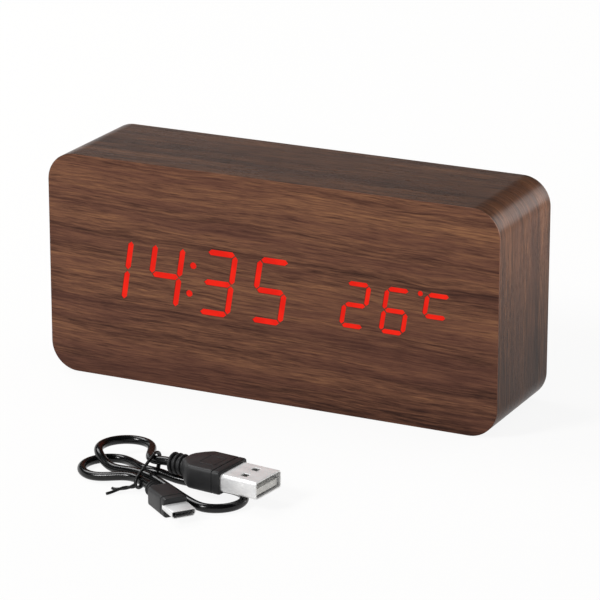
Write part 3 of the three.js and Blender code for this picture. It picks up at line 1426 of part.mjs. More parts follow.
function plugAGrip() {
  const grip = plugGrip({
    width: PLUG_A_WIDTH,
    thickness: PLUG_A_THICKNESS,
    neckWidth: PLUG_A_NECK_WIDTH,
    neckLength: PLUG_A_NECK_LENGTH,
    shoulderLength: PLUG_A_SHOULDER_LENGTH,
    bodyLength: PLUG_A_BODY_LENGTH,
    edge: PLUG_A_EDGE,
  });
  return cut(grip, shellSeat(SHELL_A_WIDTH, SHELL_A_HEIGHT, PLUG_A_END, SHELL_A_SEAT));
}

function plugAShell() {
  const outer = roundedRectangle(SHELL_A_WIDTH, SHELL_A_HEIGHT, SHELL_A_CORNER);
  const inner = roundedRectangle(
    SHELL_A_WIDTH - 2 * SHELL_A_WALL,
    SHELL_A_HEIGHT - 2 * SHELL_A_WALL,
    SHELL_A_CORNER / 2,
  );
  const shell = plugShell(withHoles(outer, [inner]), PLUG_A_END - SHELL_A_SEAT, PLUG_A_END + SHELL_A_STAND);
  const holes = [-1, 1].map((side) => block(
    span(PLUG_A_END + SHELL_A_HOLE_FROM_PLUG, SHELL_A_HOLE),
    span((side * SHELL_A_HOLE_SPACING) / 2, SHELL_A_HOLE),
    span(0, SHELL_A_HEIGHT + 2 * CUT_OVERRUN),
  ));
  return cut(shell, ...holes);
}

function plugATongue() {
  const fit = SHELL_A_WALL + SEAT_GAP;
  const start = PLUG_A_END - SHELL_A_SEAT;
  const width = SHELL_A_WIDTH - 2 * fit;
  const low = -SHELL_A_HEIGHT / 2 + fit;
  return join(
    block([start, start + TONGUE_A_BASE_LENGTH], span(0, width), [low, -low]),
    block(
      [start, PLUG_A_END + SHELL_A_STAND - TONGUE_A_INSET],
      span(0, width - JOIN_DEPTH),
      [low, low + TONGUE_A_THICKNESS],
    ),
  );
}

function plugBGrip() {
  const grip = plugGrip({
    width: PLUG_B_WIDTH,
    thickness: PLUG_B_THICKNESS,
    neckWidth: PLUG_B_NECK_WIDTH,
    neckLength: PLUG_B_NECK_LENGTH,
    shoulderLength: PLUG_B_SHOULDER_LENGTH,
    bodyLength: PLUG_B_BODY_LENGTH,
    edge: PLUG_B_EDGE,
  });
  return cut(grip, shellSeat(SHELL_B_WIDTH, SHELL_B_HEIGHT, PLUG_B_END, SHELL_B_SEAT));
}

function plugBShell() {
  const outer = chamferedRectangle(SHELL_B_WIDTH, SHELL_B_HEIGHT, SHELL_B_CHAMFER);
  const inner = chamferedRectangle(
    SHELL_B_WIDTH - 2 * SHELL_B_WALL,
    SHELL_B_HEIGHT - 2 * SHELL_B_WALL,
    SHELL_B_CHAMFER,
  );
  return plugShell(withHoles(outer, [inner]), PLUG_B_END - SHELL_B_SEAT, PLUG_B_END + SHELL_B_STAND);
}

function plugBTongue() {
  const fit = SHELL_B_WALL + SEAT_GAP;
  const start = PLUG_B_END - SHELL_B_SEAT;
  const width = SHELL_B_WIDTH - 2 * SHELL_B_CHAMFER - 2 * fit;
  const high = SHELL_B_HEIGHT / 2 - fit;
  return join(
    block([start, start + TONGUE_B_BASE_LENGTH], span(0, width), [-high, high]),
    block(
      [start, PLUG_B_END + SHELL_B_STAND - TONGUE_B_INSET],
      span(0, width - JOIN_DEPTH),
      [high - TONGUE_B_THICKNESS, high],
    ),
  );
}

// The tie's ring is the hull of the strands that it holds, and its two ends are twisted together beside it
function tieRing(growY, growZ) {
  const strands = [[TIE_TOP_Y, UPPER_STRAND_Z + TIE_GAP], [TIE_RIGHT_Y, WAIST_Z], [TIE_LEFT_Y, WAIST_Z]];
  const points = Array.from({ length: TIE_STEPS }, (_, step) => {
    const angle = (2 * Math.PI * step) / TIE_STEPS;
    const [outY, outZ] = [Math.cos(angle), Math.sin(angle)];
    const [y, z] = strands.reduce((best, strand) => (
      strand[0] * outY + strand[1] * outZ > best[0] * outY + best[1] * outZ ? strand : best
    ));
    return [y + growY * outY, z + growZ * outZ];
  });
  return polygon(points);
}

function twistTie() {
  const insideY = CORD_RADIUS + TIE_GAP + TIE_SLACK;
  const insideZ = CORD_RADIUS + TIE_GAP / 2;
  const outline = tieRing(insideY + TIE_THICKNESS, insideZ + TIE_THICKNESS);
  const ring = new THREE.ExtrudeGeometry(
    withHoles(outline, [tieRing(insideY, insideZ)]),
    { depth: TIE_WIDTH, bevelEnabled: false },
  ).rotateX(Math.PI / 2).rotateZ(Math.PI / 2).translate(TIE_X - TIE_WIDTH / 2, 0, 0);
  const radius = TIE_THICKNESS / 2;
  const tails = TIE_TAIL_ROUTES.map((places) => tube(route(places), radius, TIE_TAIL_SIDES, TIE_TAIL_STEPS));
  return join(ring, ...tails);
}

// Assembly

const clock = new THREE.Group();
clock.position.z = CASE_HEIGHT / 2;

clock.add(
  piece('front_veneer', frontVeneer(), WALNUT),
  piece('case_wrap_veneer', wrapVeneer(), WALNUT),
  piece('front_panel', frontPanel(), FIBREBOARD),
  piece('wood_case', woodCase(), FIBREBOARD),
  piece('time_light_guide', lightGuide(timeDigits), LIT_RED),
  piece('temperature_light_guide', lightGuide(temperatureDigits), LIT_RED),
  piece('diffuser_film', diffuserFilm(), FILM_WHITE),
  piece('segment_mask', segmentMask(), BLACK_PLASTIC),
  piece('led_array', ledArray(), LED_WHITE),
  piece('display_board', displayBoard(), CIRCUIT_GREEN),
  piece('display_driver', displayDriver(), BLACK_PLASTIC),
  piece('display_connector', displayConnector(), IVORY_PLASTIC),
  piece('rear_cover', rearCover(), BLACK_PLASTIC),
  piece('battery_door', batteryDoor(), DARK_PLASTIC),
  piece('battery_contact_negative', negativeContact(), STEEL),
  piece('battery_contact_positive', positiveContact(), STEEL),
  piece('battery_bridge_left', leftBridge(), STEEL),
  piece('battery_bridge_right', rightBridge(), STEEL),
  piece('control_board', controlBoard(), CIRCUIT_GREEN),
  piece('usb_socket_shell', socketShell(), STEEL),
  piece('usb_socket_tongue', socketTongue(), BLACK_PLASTIC),
  piece('buzzer', buzzer(), BLACK_PLASTIC),
  piece('microphone', microphone(), STEEL),
  piece('temperature_sensor', temperatureSensor(), DARK_PLASTIC),
  piece('control_chip', controlChip(), BLACK_PLASTIC),
  piece('clock_crystal', clockCrystal(), STEEL),
  piece('backup_cell_holder', backupCellHolder(), IVORY_PLASTIC),
  piece('backup_cell', backupCell(), STEEL),
  piece('control_connector', controlConnector(), IVORY_PLASTIC),
  piece('ribbon_cable', ribbonCable(), RIBBON_GREY),
  piece('battery_wire_positive', batteryWire(1, 2), WIRE_RED),
  piece('battery_wire_negative', batteryWire(-1, 0), CORD_BLACK),
);

displayScrewPlaces.forEach((place, index) => {
  clock.add(piece(`display_screw_${index + 1}`, displayScrew(place), STEEL));
});

coverScrewPlaces.forEach((place, index) => {
  clock.add(piece(`cover_screw_${index + 1}`, coverScrew(place), STEEL));
});

for (let index = 0; index < BATTERY_COUNT; index += 1) {
  clock.add(piece(`battery_${index + 1}`, battery(index), BATTERY_WRAP));
}

['set', 'up', 'down'].forEach((name, index) => {
  clock.add(
    piece(`${name}_switch`, switchBody(buttonPlaces[index]), BLACK_PLASTIC),
    piece(`${name}_switch_plunger`, switchPlunger(buttonPlaces[index]), BRASS),
    piece(`${name}_button`, button(buttonPlaces[index]), DARK_PLASTIC),
  );
});

const plugA = new THREE.Group();
plugA.position.set(PLUG_A_X, PLUG_A_Y, PLUG_A_Z);
plugA.rotation.z = PLUG_A_TURN;
plugA.add(
  piece('usb_a_grip', plugAGrip(), DARK_PLASTIC),
  piece('usb_a_shell', plugAShell(), STEEL),
  piece('usb_a_tongue', plugATongue(), IVORY_PLASTIC),
);

const plugB = new THREE.Group();
plugB.position.set(PLUG_B_X, PLUG_B_Y, PLUG_B_Z);
plugB.rotation.z = PLUG_B_TURN;
plugB.add(
  piece('micro_usb_grip', plugBGrip(), DARK_PLASTIC),
  piece('micro_usb_shell', plugBShell(), STEEL),
  piece('micro_usb_tongue', plugBTongue(), BLACK_PLASTIC),
);

const lead = new THREE.Group();
lead.position.set(LEAD_X, LEAD_Y, 0);
lead.add(
  piece('usb_cord', usbCord(), CORD_BLACK),
  piece('twist_tie', twistTie(), CORD_BLACK),
  plugA,
  plugB,
);

const deskClock = new THREE.Group();
deskClock.add(clock, lead);

export default deskClock;
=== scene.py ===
import math

import bmesh
import bpy
from mathutils import Matrix, Vector
from mathutils.geometry import tessellate_polygon


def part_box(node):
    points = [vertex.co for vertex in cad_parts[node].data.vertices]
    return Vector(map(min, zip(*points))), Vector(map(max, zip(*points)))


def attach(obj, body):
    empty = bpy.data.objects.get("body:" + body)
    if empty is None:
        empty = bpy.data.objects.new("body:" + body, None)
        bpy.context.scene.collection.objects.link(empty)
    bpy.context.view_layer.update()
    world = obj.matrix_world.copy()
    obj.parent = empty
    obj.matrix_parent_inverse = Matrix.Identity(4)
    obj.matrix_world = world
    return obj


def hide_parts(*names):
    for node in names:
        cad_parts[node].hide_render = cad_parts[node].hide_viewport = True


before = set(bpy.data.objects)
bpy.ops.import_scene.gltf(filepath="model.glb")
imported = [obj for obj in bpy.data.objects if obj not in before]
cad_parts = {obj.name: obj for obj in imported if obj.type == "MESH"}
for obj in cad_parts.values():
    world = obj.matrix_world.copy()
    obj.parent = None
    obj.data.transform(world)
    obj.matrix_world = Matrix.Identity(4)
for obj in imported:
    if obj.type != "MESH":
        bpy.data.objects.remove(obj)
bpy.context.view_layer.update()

# Every piece is made in millimetres in the frame of what it belongs to, and its place brings it into metres
MM = 0.001
CASE_LOW, CASE_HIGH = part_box("case_wrap_veneer")
CASE_MIDDLE = (CASE_LOW + CASE_HIGH) / 2
IN_CLOCK = Matrix.Translation((0, 0, CASE_MIDDLE.z)) @ Matrix.Scale(MM, 4)


def box_of(node):
    """A node's lowest and highest corners in millimetres, from the middle of the clock."""
    into_clock = IN_CLOCK.inverted()
    low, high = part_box(node)
    return into_clock @ low, into_clock @ high


def middle_of(node):
    low, high = box_of(node)
    return (low + high) / 2


# Sizes of the clock, as its solids have them
FRONT_LOW, FRONT_HIGH = box_of("front_veneer")
WRAP_LOW, WRAP_HIGH = box_of("case_wrap_veneer")
COVER_LOW, COVER_HIGH = box_of("rear_cover")
DOOR_LOW, DOOR_HIGH = box_of("battery_door")
BOARD_LOW, BOARD_HIGH = box_of("control_board")
CELL_LOW, CELL_HIGH = box_of("battery_1")
CASE_WIDTH = FRONT_HIGH.x - FRONT_LOW.x
CASE_HEIGHT = FRONT_HIGH.z - FRONT_LOW.z
CASE_CORNER = 9
VENEER_THICKNESS = 0.4
GUIDE_THICKNESS = 1
GUIDE_CORNER = 1.5

# Sizes of the rear cover and of what goes through it
COVER_THICKNESS = 2
COVER_OUTER_Y = COVER_HIGH.y
COVER_INNER_Y = COVER_OUTER_Y - COVER_THICKNESS
COVER_WIDTH = COVER_HIGH.x - COVER_LOW.x
COVER_HEIGHT = COVER_HIGH.z - COVER_LOW.z
COVER_CORNER = 6.75
BUTTON_NODES = ("set_button", "up_button", "down_button")
SCREW_NODES = [f"cover_screw_{number}" for number in range(1, 5)]
BUTTON_HOLE_RADIUS = 3.75
SCREW_HOLE_RADIUS = 1.6
SOCKET_HOLE_WIDTH = 8.6
SOCKET_HOLE_HEIGHT = 3.7
SOCKET_HOLE_CHAMFER = 0.8
MICROPHONE_HOLE_RADIUS = 0.8
SOUND_HOLE_RADIUS = 0.7
SOUND_RING_RADIUS = 3
VENT_LENGTH = 8
VENT_WIDTH = 1
VENT_CORNER = 0.49
VENT_PITCH = 2.4

# Sizes of the battery door, the bay behind it and the posts beside it
DOOR_X = (DOOR_LOW.x + DOOR_HIGH.x) / 2
DOOR_WIDTH = DOOR_HIGH.x - DOOR_LOW.x
DOOR_TOP = DOOR_HIGH.z
DOOR_CORNER = 1.5
DOOR_GAP = 0.25
DOOR_STEP = 0.2
SCOOP_RADIUS = 5
SCOOP_DEPTH = 0.9
TONGUE_PLACES = (DOOR_X - 16, DOOR_X + 16)
TONGUE_HALF_WIDTH = 3
TONGUE_THICKNESS = 1.1
TONGUE_REACH = 2
TONGUE_ROOT = 3.2
TONGUE_CLEARANCE = 0.1
RIB_PITCH = 2
BAY_LENGTH = 50.6
BAY_HEIGHT = 32.7
BAY_WALL = 3
BAY_FLOOR = 1.5
BAY_CORNER = 1.5
CELL_CLEARANCE = 0.25
NOTCH_DEPTH = 3.9
CUT_OVERRUN = 1
POST_INSET = 3
POST_RADIUS = 2.5
PIN_RADIUS = 1
PIN_REACH = 1
PIN_CHAMFER = 0.3
CONTACT_THICKNESS = 0.4

# Places of the lead, which has its own frame on the surface that the clock stands on
IN_LEAD = Matrix.Translation((-2.5 * MM, -95 * MM, 0)) @ Matrix.Scale(MM, 4)
PLUG_A_PLACE = (8.6, 2.9, 6.4)
PLUG_A_TURN = math.radians(-7)
PLUG_B_PLACE = (8.4, -9.2, 2.85)
PLUG_B_TURN = math.radians(-38)
IN_PLUG_A = IN_LEAD @ Matrix.Translation(PLUG_A_PLACE) @ Matrix.Rotation(PLUG_A_TURN, 4, "Z")
IN_PLUG_B = IN_LEAD @ Matrix.Translation(PLUG_B_PLACE) @ Matrix.Rotation(PLUG_B_TURN, 4, "Z")


# Shader maths
class Wire:
    """A shader socket. Sums on it add the Math nodes that they need."""

    def __init__(self, finish, socket):
        self.finish = finish
        self.socket = socket

    def other_output(self, name):
        return Wire(self.finish, self.socket.node.outputs[name])

    def __add__(self, other):
        return self.finish.sum("ADD", self, other)

    def __sub__(self, other):
        return self.finish.sum("SUBTRACT", self, other)

    def __rsub__(self, other):
        return self.finish.sum("SUBTRACT", other, self)

    def __mul__(self, other):
        return self.finish.sum("MULTIPLY", self, other)

    def __truediv__(self, other):
        return self.finish.sum("DIVIDE", self, other)

    def __abs__(self):
        return self.finish.sum("ABSOLUTE", self, 0)

    __radd__ = __add__
    __rmul__ = __mul__


class Finish:
    """A material in the making, or the world. Its methods add nodes and give their outputs as wires."""

    def __init__(self, name, world=None):
        self.material = world or bpy.data.materials.new(name)
        self.ending = "ShaderNodeOutputWorld" if world else "ShaderNodeOutputMaterial"
        self.material.use_nodes = True
        self.tree = self.material.node_tree
        self.tree.nodes.clear()

    def node(self, kind, settings=None, sockets=None, output=0):
        node = self.tree.nodes.new(kind)
        for setting, value in (settings or {}).items():
            if setting == "stops":
                set_stops(node.color_ramp, value)
            else:
                setattr(node, setting, value)
        for name, value in (sockets or {}).items():
            if isinstance(value, Wire):
                self.tree.links.new(value.socket, node.inputs[name])
            else:
                node.inputs[name].default_value = value
        return Wire(self, node.outputs[output])

    def sum(self, operation, first, second):
        return self.node("ShaderNodeMath", {"operation": operation}, {0: first, 1: second})

    def place(self):
        """Place on the whole object in millimetres."""
        coordinates = self.node("ShaderNodeTexCoord", output="Object")
        return self.node("ShaderNodeVectorMath", {"operation": "SCALE"}, {0: coordinates, "Scale": 1 / MM})

    def unrolled(self):
        """Place on the unrolled surface of the piece in millimetres."""
        return self.node("ShaderNodeTexCoord", output="UV")

    def parts(self, vector):
        x = self.node("ShaderNodeSeparateXYZ", sockets={0: vector})
        return x, x.other_output(1), x.other_output(2)

    def point(self, x, y, z):
        return self.node("ShaderNodeCombineXYZ", sockets={0: x, 1: y, 2: z})

    def stretched(self, vector, x, y, z):
        return self.node("ShaderNodeVectorMath", {"operation": "MULTIPLY"}, {0: vector, 1: (x, y, z)})

    def noise(self, vector, scale=1.0, detail=3.0, roughness=0.5):
        sockets = {"Vector": vector, "Scale": scale, "Detail": detail, "Roughness": roughness}
        return self.node("ShaderNodeTexNoise", sockets=sockets)

    def cells(self, vector, scale=1.0, randomness=1.0):
        sockets = {"Vector": vector, "Scale": scale, "Randomness": randomness}
        return self.node("ShaderNodeTexVoronoi", sockets=sockets)

    def fade(self, value, low, high):
        """Rises smoothly from 0 at low to 1 at high."""
        sockets = {"Value": value, "From Min": low, "From Max": high}
        return self.node("ShaderNodeMapRange", {"interpolation_type": "SMOOTHSTEP"}, sockets)

    def mix(self, share, first, second):
        """Mixes two colours, which are inputs 6 and 7 and output 2 of the Mix node."""
        settings = {"data_type": "RGBA", "clamp_factor": True}
        return self.node("ShaderNodeMix", settings, {0: share, 6: first, 7: second}, output=2)

    def ramp(self, value, stops):
        return self.node("ShaderNodeValToRGB", {"stops": stops}, {0: value})

    def bump(self, height):
        """Height in millimetres."""
        return self.node("ShaderNodeBump", sockets={"Height": height, "Distance": MM, "Strength": 1.0})

    def done(self, **sockets):
        """Ends in the shader, whose sockets are given by their names with underscores."""
        named = {name.replace("_", " "): value for name, value in sockets.items()}
        shader = self.node("ShaderNodeBsdfPrincipled", sockets=named)
        self.node_out(shader)
        return self.material

    def node_out(self, shader):
        output = self.tree.nodes.new(self.ending)
        self.tree.links.new(shader.socket, output.inputs["Surface"])


def set_stops(ramp, stops):
    """Puts the stops, each a position and a colour, on a colour ramp."""
    while len(ramp.elements) < len(stops):
        ramp.elements.new(1.0)
    for element, (position, colour) in zip(ramp.elements, stops):
        element.position = position
        element.color = colour


def tone(red, green, blue):
    """A colour as the eye reads it, from 0 to 255, in the light values that a shader wants."""
    def light(value):
        share = value / 255
        return share / 12.92 if share <= 0.04045 else ((share + 0.055) / 1.055) ** 2.4

    return (light(red), light(green), light(blue), 1.0)


# Wood
def walnut(name, tones, plum, seed, gloss, roughness, stripes, dark_bands=(), light_bands=(), right_end_darkening=0.0):
    """Thin walnut veneer under a satin oil. The unrolled surface has its grain along the first direction.
    tones run from the darkest to the lightest, and plum is the tone of the cooler streaks. Each band is
    its place across the grain, its half width and its strength. right_end_darkening makes the wood darker
    towards its right end."""
    finish = Finish(name)
    along, across, _ = finish.parts(finish.unrolled())
    wander = finish.noise(finish.point(along * 0.012, across * 0.022, seed), detail=2.0) - 0.5
    ripple = finish.noise(finish.point(along * 0.06, across * 0.14, seed + 3), detail=2.0) - 0.5
    line = across + along * 0.02 + wander * 4 + ripple * 1.3
    broad = finish.noise(finish.point(along * 0.007, line * 0.09, seed + 7), detail=3.0)
    stripe = finish.noise(finish.point(along * 0.012, line * 0.27, seed + 11), detail=2.0)
    streak = finish.noise(finish.point(along * 0.036, line * 0.8, seed + 13), detail=3.0, roughness=0.6)
    hair = finish.noise(finish.point(along * 0.085, line * 1.7, seed + 17), detail=3.0, roughness=0.65)
    fibre = finish.noise(finish.point(along * 0.3, line * 5.5, seed + 19), detail=2.0, roughness=0.6)
    figure = 0.5 + (broad - 0.5) * 0.45 + (stripe - 0.5) * stripes + (streak - 0.5) * 0.5
    figure = figure + (hair - 0.5) * 0.85 + (fibre - 0.5) * 0.3
    for height, half_width, strength in dark_bands:
        figure = figure - (1 - finish.fade(abs(line - height), 0, half_width)) * strength
    for height, half_width, strength in light_bands:
        figure = figure + (1 - finish.fade(abs(line - height), 0, half_width)) * strength
    # The wood is made darker from the middle towards the right end.
    figure = figure - finish.fade(along, 5, 70) * right_end_darkening
    colour = finish.ramp(figure, list(zip((0.2, 0.4, 0.54, 0.76), tones)))
    cool = finish.noise(finish.point(along * 0.012, line * 0.16, seed + 23), detail=3.0)
    colour = finish.mix(finish.fade(cool, 0.42, 0.62) * 0.4, colour, plum)
    pores = 0.0
    for length, pitch, share, depth in ((12, 0.85, 0.5, 0.6), (9, 0.55, 0.45, 0.7), (6, 0.35, 0.5, 0.55)):
        cell = finish.cells(finish.point(along / length + ripple * 0.5, line / pitch, seed + length * 3.7))
        chosen, strength, _ = finish.parts(cell.other_output("Color"))
        pore = (1 - finish.fade(cell, 0.08, 0.36)) * finish.fade(chosen, share, share + 0.1)
        pores = finish.sum("MAXIMUM", pores, pore * (strength * 0.7 + 0.3) * depth)
    colour = finish.mix(pores, colour, tones[0])
    polish = finish.noise(finish.point(along * 0.03, across * 0.05, seed + 41), detail=2.0)
    return finish.done(
        Base_Color=colour,
        Roughness=roughness + polish * 0.1 + pores * 0.2 + (fibre - 0.5) * 0.16,
        Specular_IOR_Level=gloss,
        Normal=finish.bump(fibre * 0.014 + hair * 0.01 - pores * 0.035),
    )


def fibreboard(name, pale, deep):
    """Pressed wood fibre: short crossed hairs in a dusty ground."""
    finish = Finish(name)
    place = finish.place()
    flock = finish.noise(place, scale=1.1, detail=5.0, roughness=0.7)
    lying = finish.noise(finish.stretched(place, 0.7, 3.2, 3.2), detail=3.0)
    standing = finish.noise(finish.stretched(place, 3.2, 3.2, 0.7), detail=3.0)
    hairs = finish.fade(lying, 0.56, 0.7) + finish.fade(standing, 0.58, 0.72)
    colour = finish.mix(finish.fade(flock + hairs * 0.12, 0.34, 0.74), deep, pale)
    return finish.done(
        Base_Color=colour,
        Roughness=0.78 + flock * 0.18,
        Normal=finish.bump(flock * 0.05 + hairs * 0.02),
    )


# Plastics
def moulded(name, colour, worn, roughness, spark, depth):
    """Moulded plastic with the spark finish of its mould: spark is the size of its grains and depth
    how far they stand out, in millimetres."""
    finish = Finish(name)
    place = finish.place()
    grains = finish.cells(place, scale=1 / spark)
    soft = finish.noise(place, scale=0.6 / spark, detail=2.0)
    handled = finish.noise(place, scale=0.07, detail=4.0, roughness=0.6)
    flow = finish.noise(finish.stretched(place, 0.02, 0.3, 0.11), detail=2.0)
    shade = finish.fade(handled * 0.6 + flow * 0.4, 0.35, 0.7)
    return finish.done(
        Base_Color=finish.mix(shade, colour, worn),
        Roughness=roughness + (handled - 0.5) * 0.2 + grains * 0.08,
        Normal=finish.bump(grains * depth + soft * depth * 0.6),
    )


def smooth_vinyl(name, colour, worn, roughness, along_cord=False, gloss=0.5):
    """Soft PVC, drawn or moulded: faint lines along it, dust and a wet sheen."""
    finish = Finish(name)
    place = finish.place()
    bloom = finish.noise(place, scale=0.16, detail=4.0, roughness=0.6)
    drawn = finish.noise(place, scale=2.4 if along_cord else 4.5, detail=2.0)
    dust = finish.fade(finish.noise(place, scale=3.1, detail=3.0, roughness=0.7), 0.62, 0.8)
    shade = finish.mix(finish.fade(bloom, 0.35, 0.72), colour, worn)
    return finish.done(
        Base_Color=finish.mix(dust * 0.12, shade, tone(120, 118, 114)),
        Roughness=roughness + (bloom - 0.5) * 0.14 + dust * 0.12,
        Specular_IOR_Level=gloss,
        Normal=finish.bump(drawn * 0.012 + bloom * 0.02),
    )


def shrink_film(name, jacket, band, far_end):
    """The jacket of a cell, which is unrolled: a plain coloured band before its positive end."""
    finish = Finish(name)
    _, along, _ = finish.parts(finish.unrolled())
    place = finish.place()
    crinkle = finish.noise(place, scale=0.5, detail=3.0)
    speckle = finish.noise(place, scale=5.0, detail=2.0)
    banded = finish.fade(along, far_end - 12.2, far_end - 12.0)
    line_starts = finish.fade(along, far_end - 13.4, far_end - 13.3)
    line_ends = finish.fade(along, far_end - 13.0, far_end - 12.9)
    lined = line_starts * (1 - line_ends)
    ground = finish.mix(finish.fade(speckle, 0.4, 0.7), jacket, tone(54, 88, 80))
    colour = finish.mix(banded, ground, band)
    return finish.done(
        Base_Color=finish.mix(lined, colour, tone(190, 186, 176)),
        Roughness=0.26 + crinkle * 0.14,
        Normal=finish.bump(crinkle * 0.03),
    )


def clear_red(name):
    """Clear plastic with red light behind it, a little brighter in some places than in others."""
    finish = Finish(name)
    place = finish.place()
    pool = finish.noise(place, scale=0.22, detail=1.0)
    grain = finish.noise(place, scale=3.0, detail=2.0)
    glow = finish.mix(finish.fade(pool + (grain - 0.5) * 0.3, 0.3, 0.7), tone(226, 26, 12), tone(240, 34, 16))
    return finish.done(
        Base_Color=finish.mix(grain, tone(26, 3, 2), tone(34, 4, 3)),
        Roughness=0.5 + grain * 0.1,
        Specular_IOR_Level=0.08,
        Emission_Color=glow,
        Emission_Strength=1.0,
    )


def milky_film(name):
    """Matt polyester film with a fine frost."""
    finish = Finish(name)
    frost = finish.noise(finish.place(), scale=6.0, detail=3.0)
    return finish.done(
        Base_Color=finish.mix(frost, tone(214, 214, 208), tone(232, 232, 228)),
        Roughness=0.6 + frost * 0.2,
        Normal=finish.bump(frost * 0.01),
    )


# Metals
def plated(name, colour, shadow, roughness, brush, metal=1.0, recess_shade_and_grime=None):
    """Plated sheet or wire. brush stretches its fine lines, as shares of a millimetre in x, y and z.
    metal is under 1 where a pale satin plating scatters light too. recess_shade_and_grime gives the two
    depths between which a screw's recess is painted darker: painted shade, with some grime."""
    finish = Finish(name)
    place = finish.place()
    lines = finish.noise(finish.stretched(place, *brush), detail=3.0, roughness=0.6)
    cloud = finish.noise(place, scale=0.35, detail=3.0)
    rubbed = finish.fade(finish.noise(place, scale=1.4, detail=4.0, roughness=0.7), 0.6, 0.78)
    shade = finish.mix(finish.fade(cloud * 0.6 + lines * 0.4, 0.32, 0.68), shadow, colour)
    if recess_shade_and_grime:
        # Painted shade with some grime: the screw is painted darker below its rim, in its recess.
        _, depth, _ = finish.parts(place)
        shade = finish.mix(finish.fade(depth, *recess_shade_and_grime), tone(40, 39, 38), shade)
    return finish.done(
        Base_Color=shade,
        Metallic=metal,
        Roughness=roughness + (lines - 0.5) * 0.14 + rubbed * 0.05,
        Normal=finish.bump(lines * 0.006),
    )


# Boards
def circuit_board(name):
    """Green solder mask over copper tracks, with a grid of tinned holes."""
    finish = Finish(name)
    place = finish.place()
    x, _, z = finish.parts(place)
    weave = finish.noise(finish.stretched(place, 2.4, 1.0, 2.4), detail=2.0)
    turns = finish.noise(finish.stretched(place, 0.05, 0.05, 0.3), detail=0.0)
    runs = finish.sum("PINGPONG", z + turns * 5, 0.8)
    track = 1 - finish.fade(runs, 0.16, 0.26)
    hole = finish.cells(finish.point(x / 2.54, 0.0, z / 2.54), randomness=0.0)
    tinned = 1 - finish.fade(hole, 0.16, 0.2)
    chosen, _, _ = finish.parts(finish.cells(finish.point(x / 10.2, 0.0, z / 7.6)).other_output("Color"))
    tinned = tinned * finish.fade(chosen, 0.55, 0.56)
    mask = finish.mix(track, tone(16, 66, 40), tone(30, 98, 60))
    mask = finish.mix(finish.fade(weave, 0.45, 0.75) * 0.35, mask, tone(12, 50, 30))
    return finish.done(
        Base_Color=finish.mix(tinned, mask, tone(188, 186, 178)),
        Metallic=tinned,
        Roughness=0.34 + weave * 0.12 - tinned * 0.1,
        Normal=finish.bump(track * 0.03 + tinned * 0.04),
    )


def ribbon_finish(name):
    """Flat grey cable: ten cores side by side under a thin jacket, with one edge marked red."""
    finish = Finish(name)
    place = finish.place()
    x, _, _ = finish.parts(place)
    marked_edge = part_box("ribbon_cable")[0].x / MM + 1.0
    cores = finish.sum("PINGPONG", x, 0.5) * 2
    dust = finish.noise(place, scale=0.8, detail=3.0)
    grey = finish.mix(dust, tone(150, 152, 152), tone(172, 173, 172))
    marked = 1 - finish.fade(x, marked_edge - 0.1, marked_edge)
    return finish.done(
        Base_Color=finish.mix(marked, finish.mix(cores * 0.3, tone(120, 122, 124), grey), tone(150, 40, 34)),
        Roughness=0.46 + dust * 0.12,
        Normal=finish.bump(cores * 0.12),
    )


FRONT_TONES = (tone(50, 30, 24), tone(89, 58, 45), tone(111, 75, 57), tone(142, 99, 69))
FRONT_DARK_BANDS = (
    (10.0, 1.6, 0.13), (7.5, 3.5, 0.06), (19.0, 1.6, 0.07),
    (-12.5, 3.2, 0.13), (-20.0, 2.5, 0.08), (-33.0, 9.0, 0.12),
)
FRONT_LIGHT_BANDS = ((27.0, 6.0, 0.08), (14.5, 2.2, 0.08), (0.0, 5.5, 0.09), (-6.5, 2.0, 0.06))
# The wrap's tones: the walnut made darker than the front's, as painted shade on the top, the sides and their
# rounded corners.
WRAP_TONES = (tone(30, 18, 12), tone(53, 33, 23), tone(76, 49, 34), tone(107, 73, 51))
STEEL_BRUSH = (0.4, 6.0, 6.0)

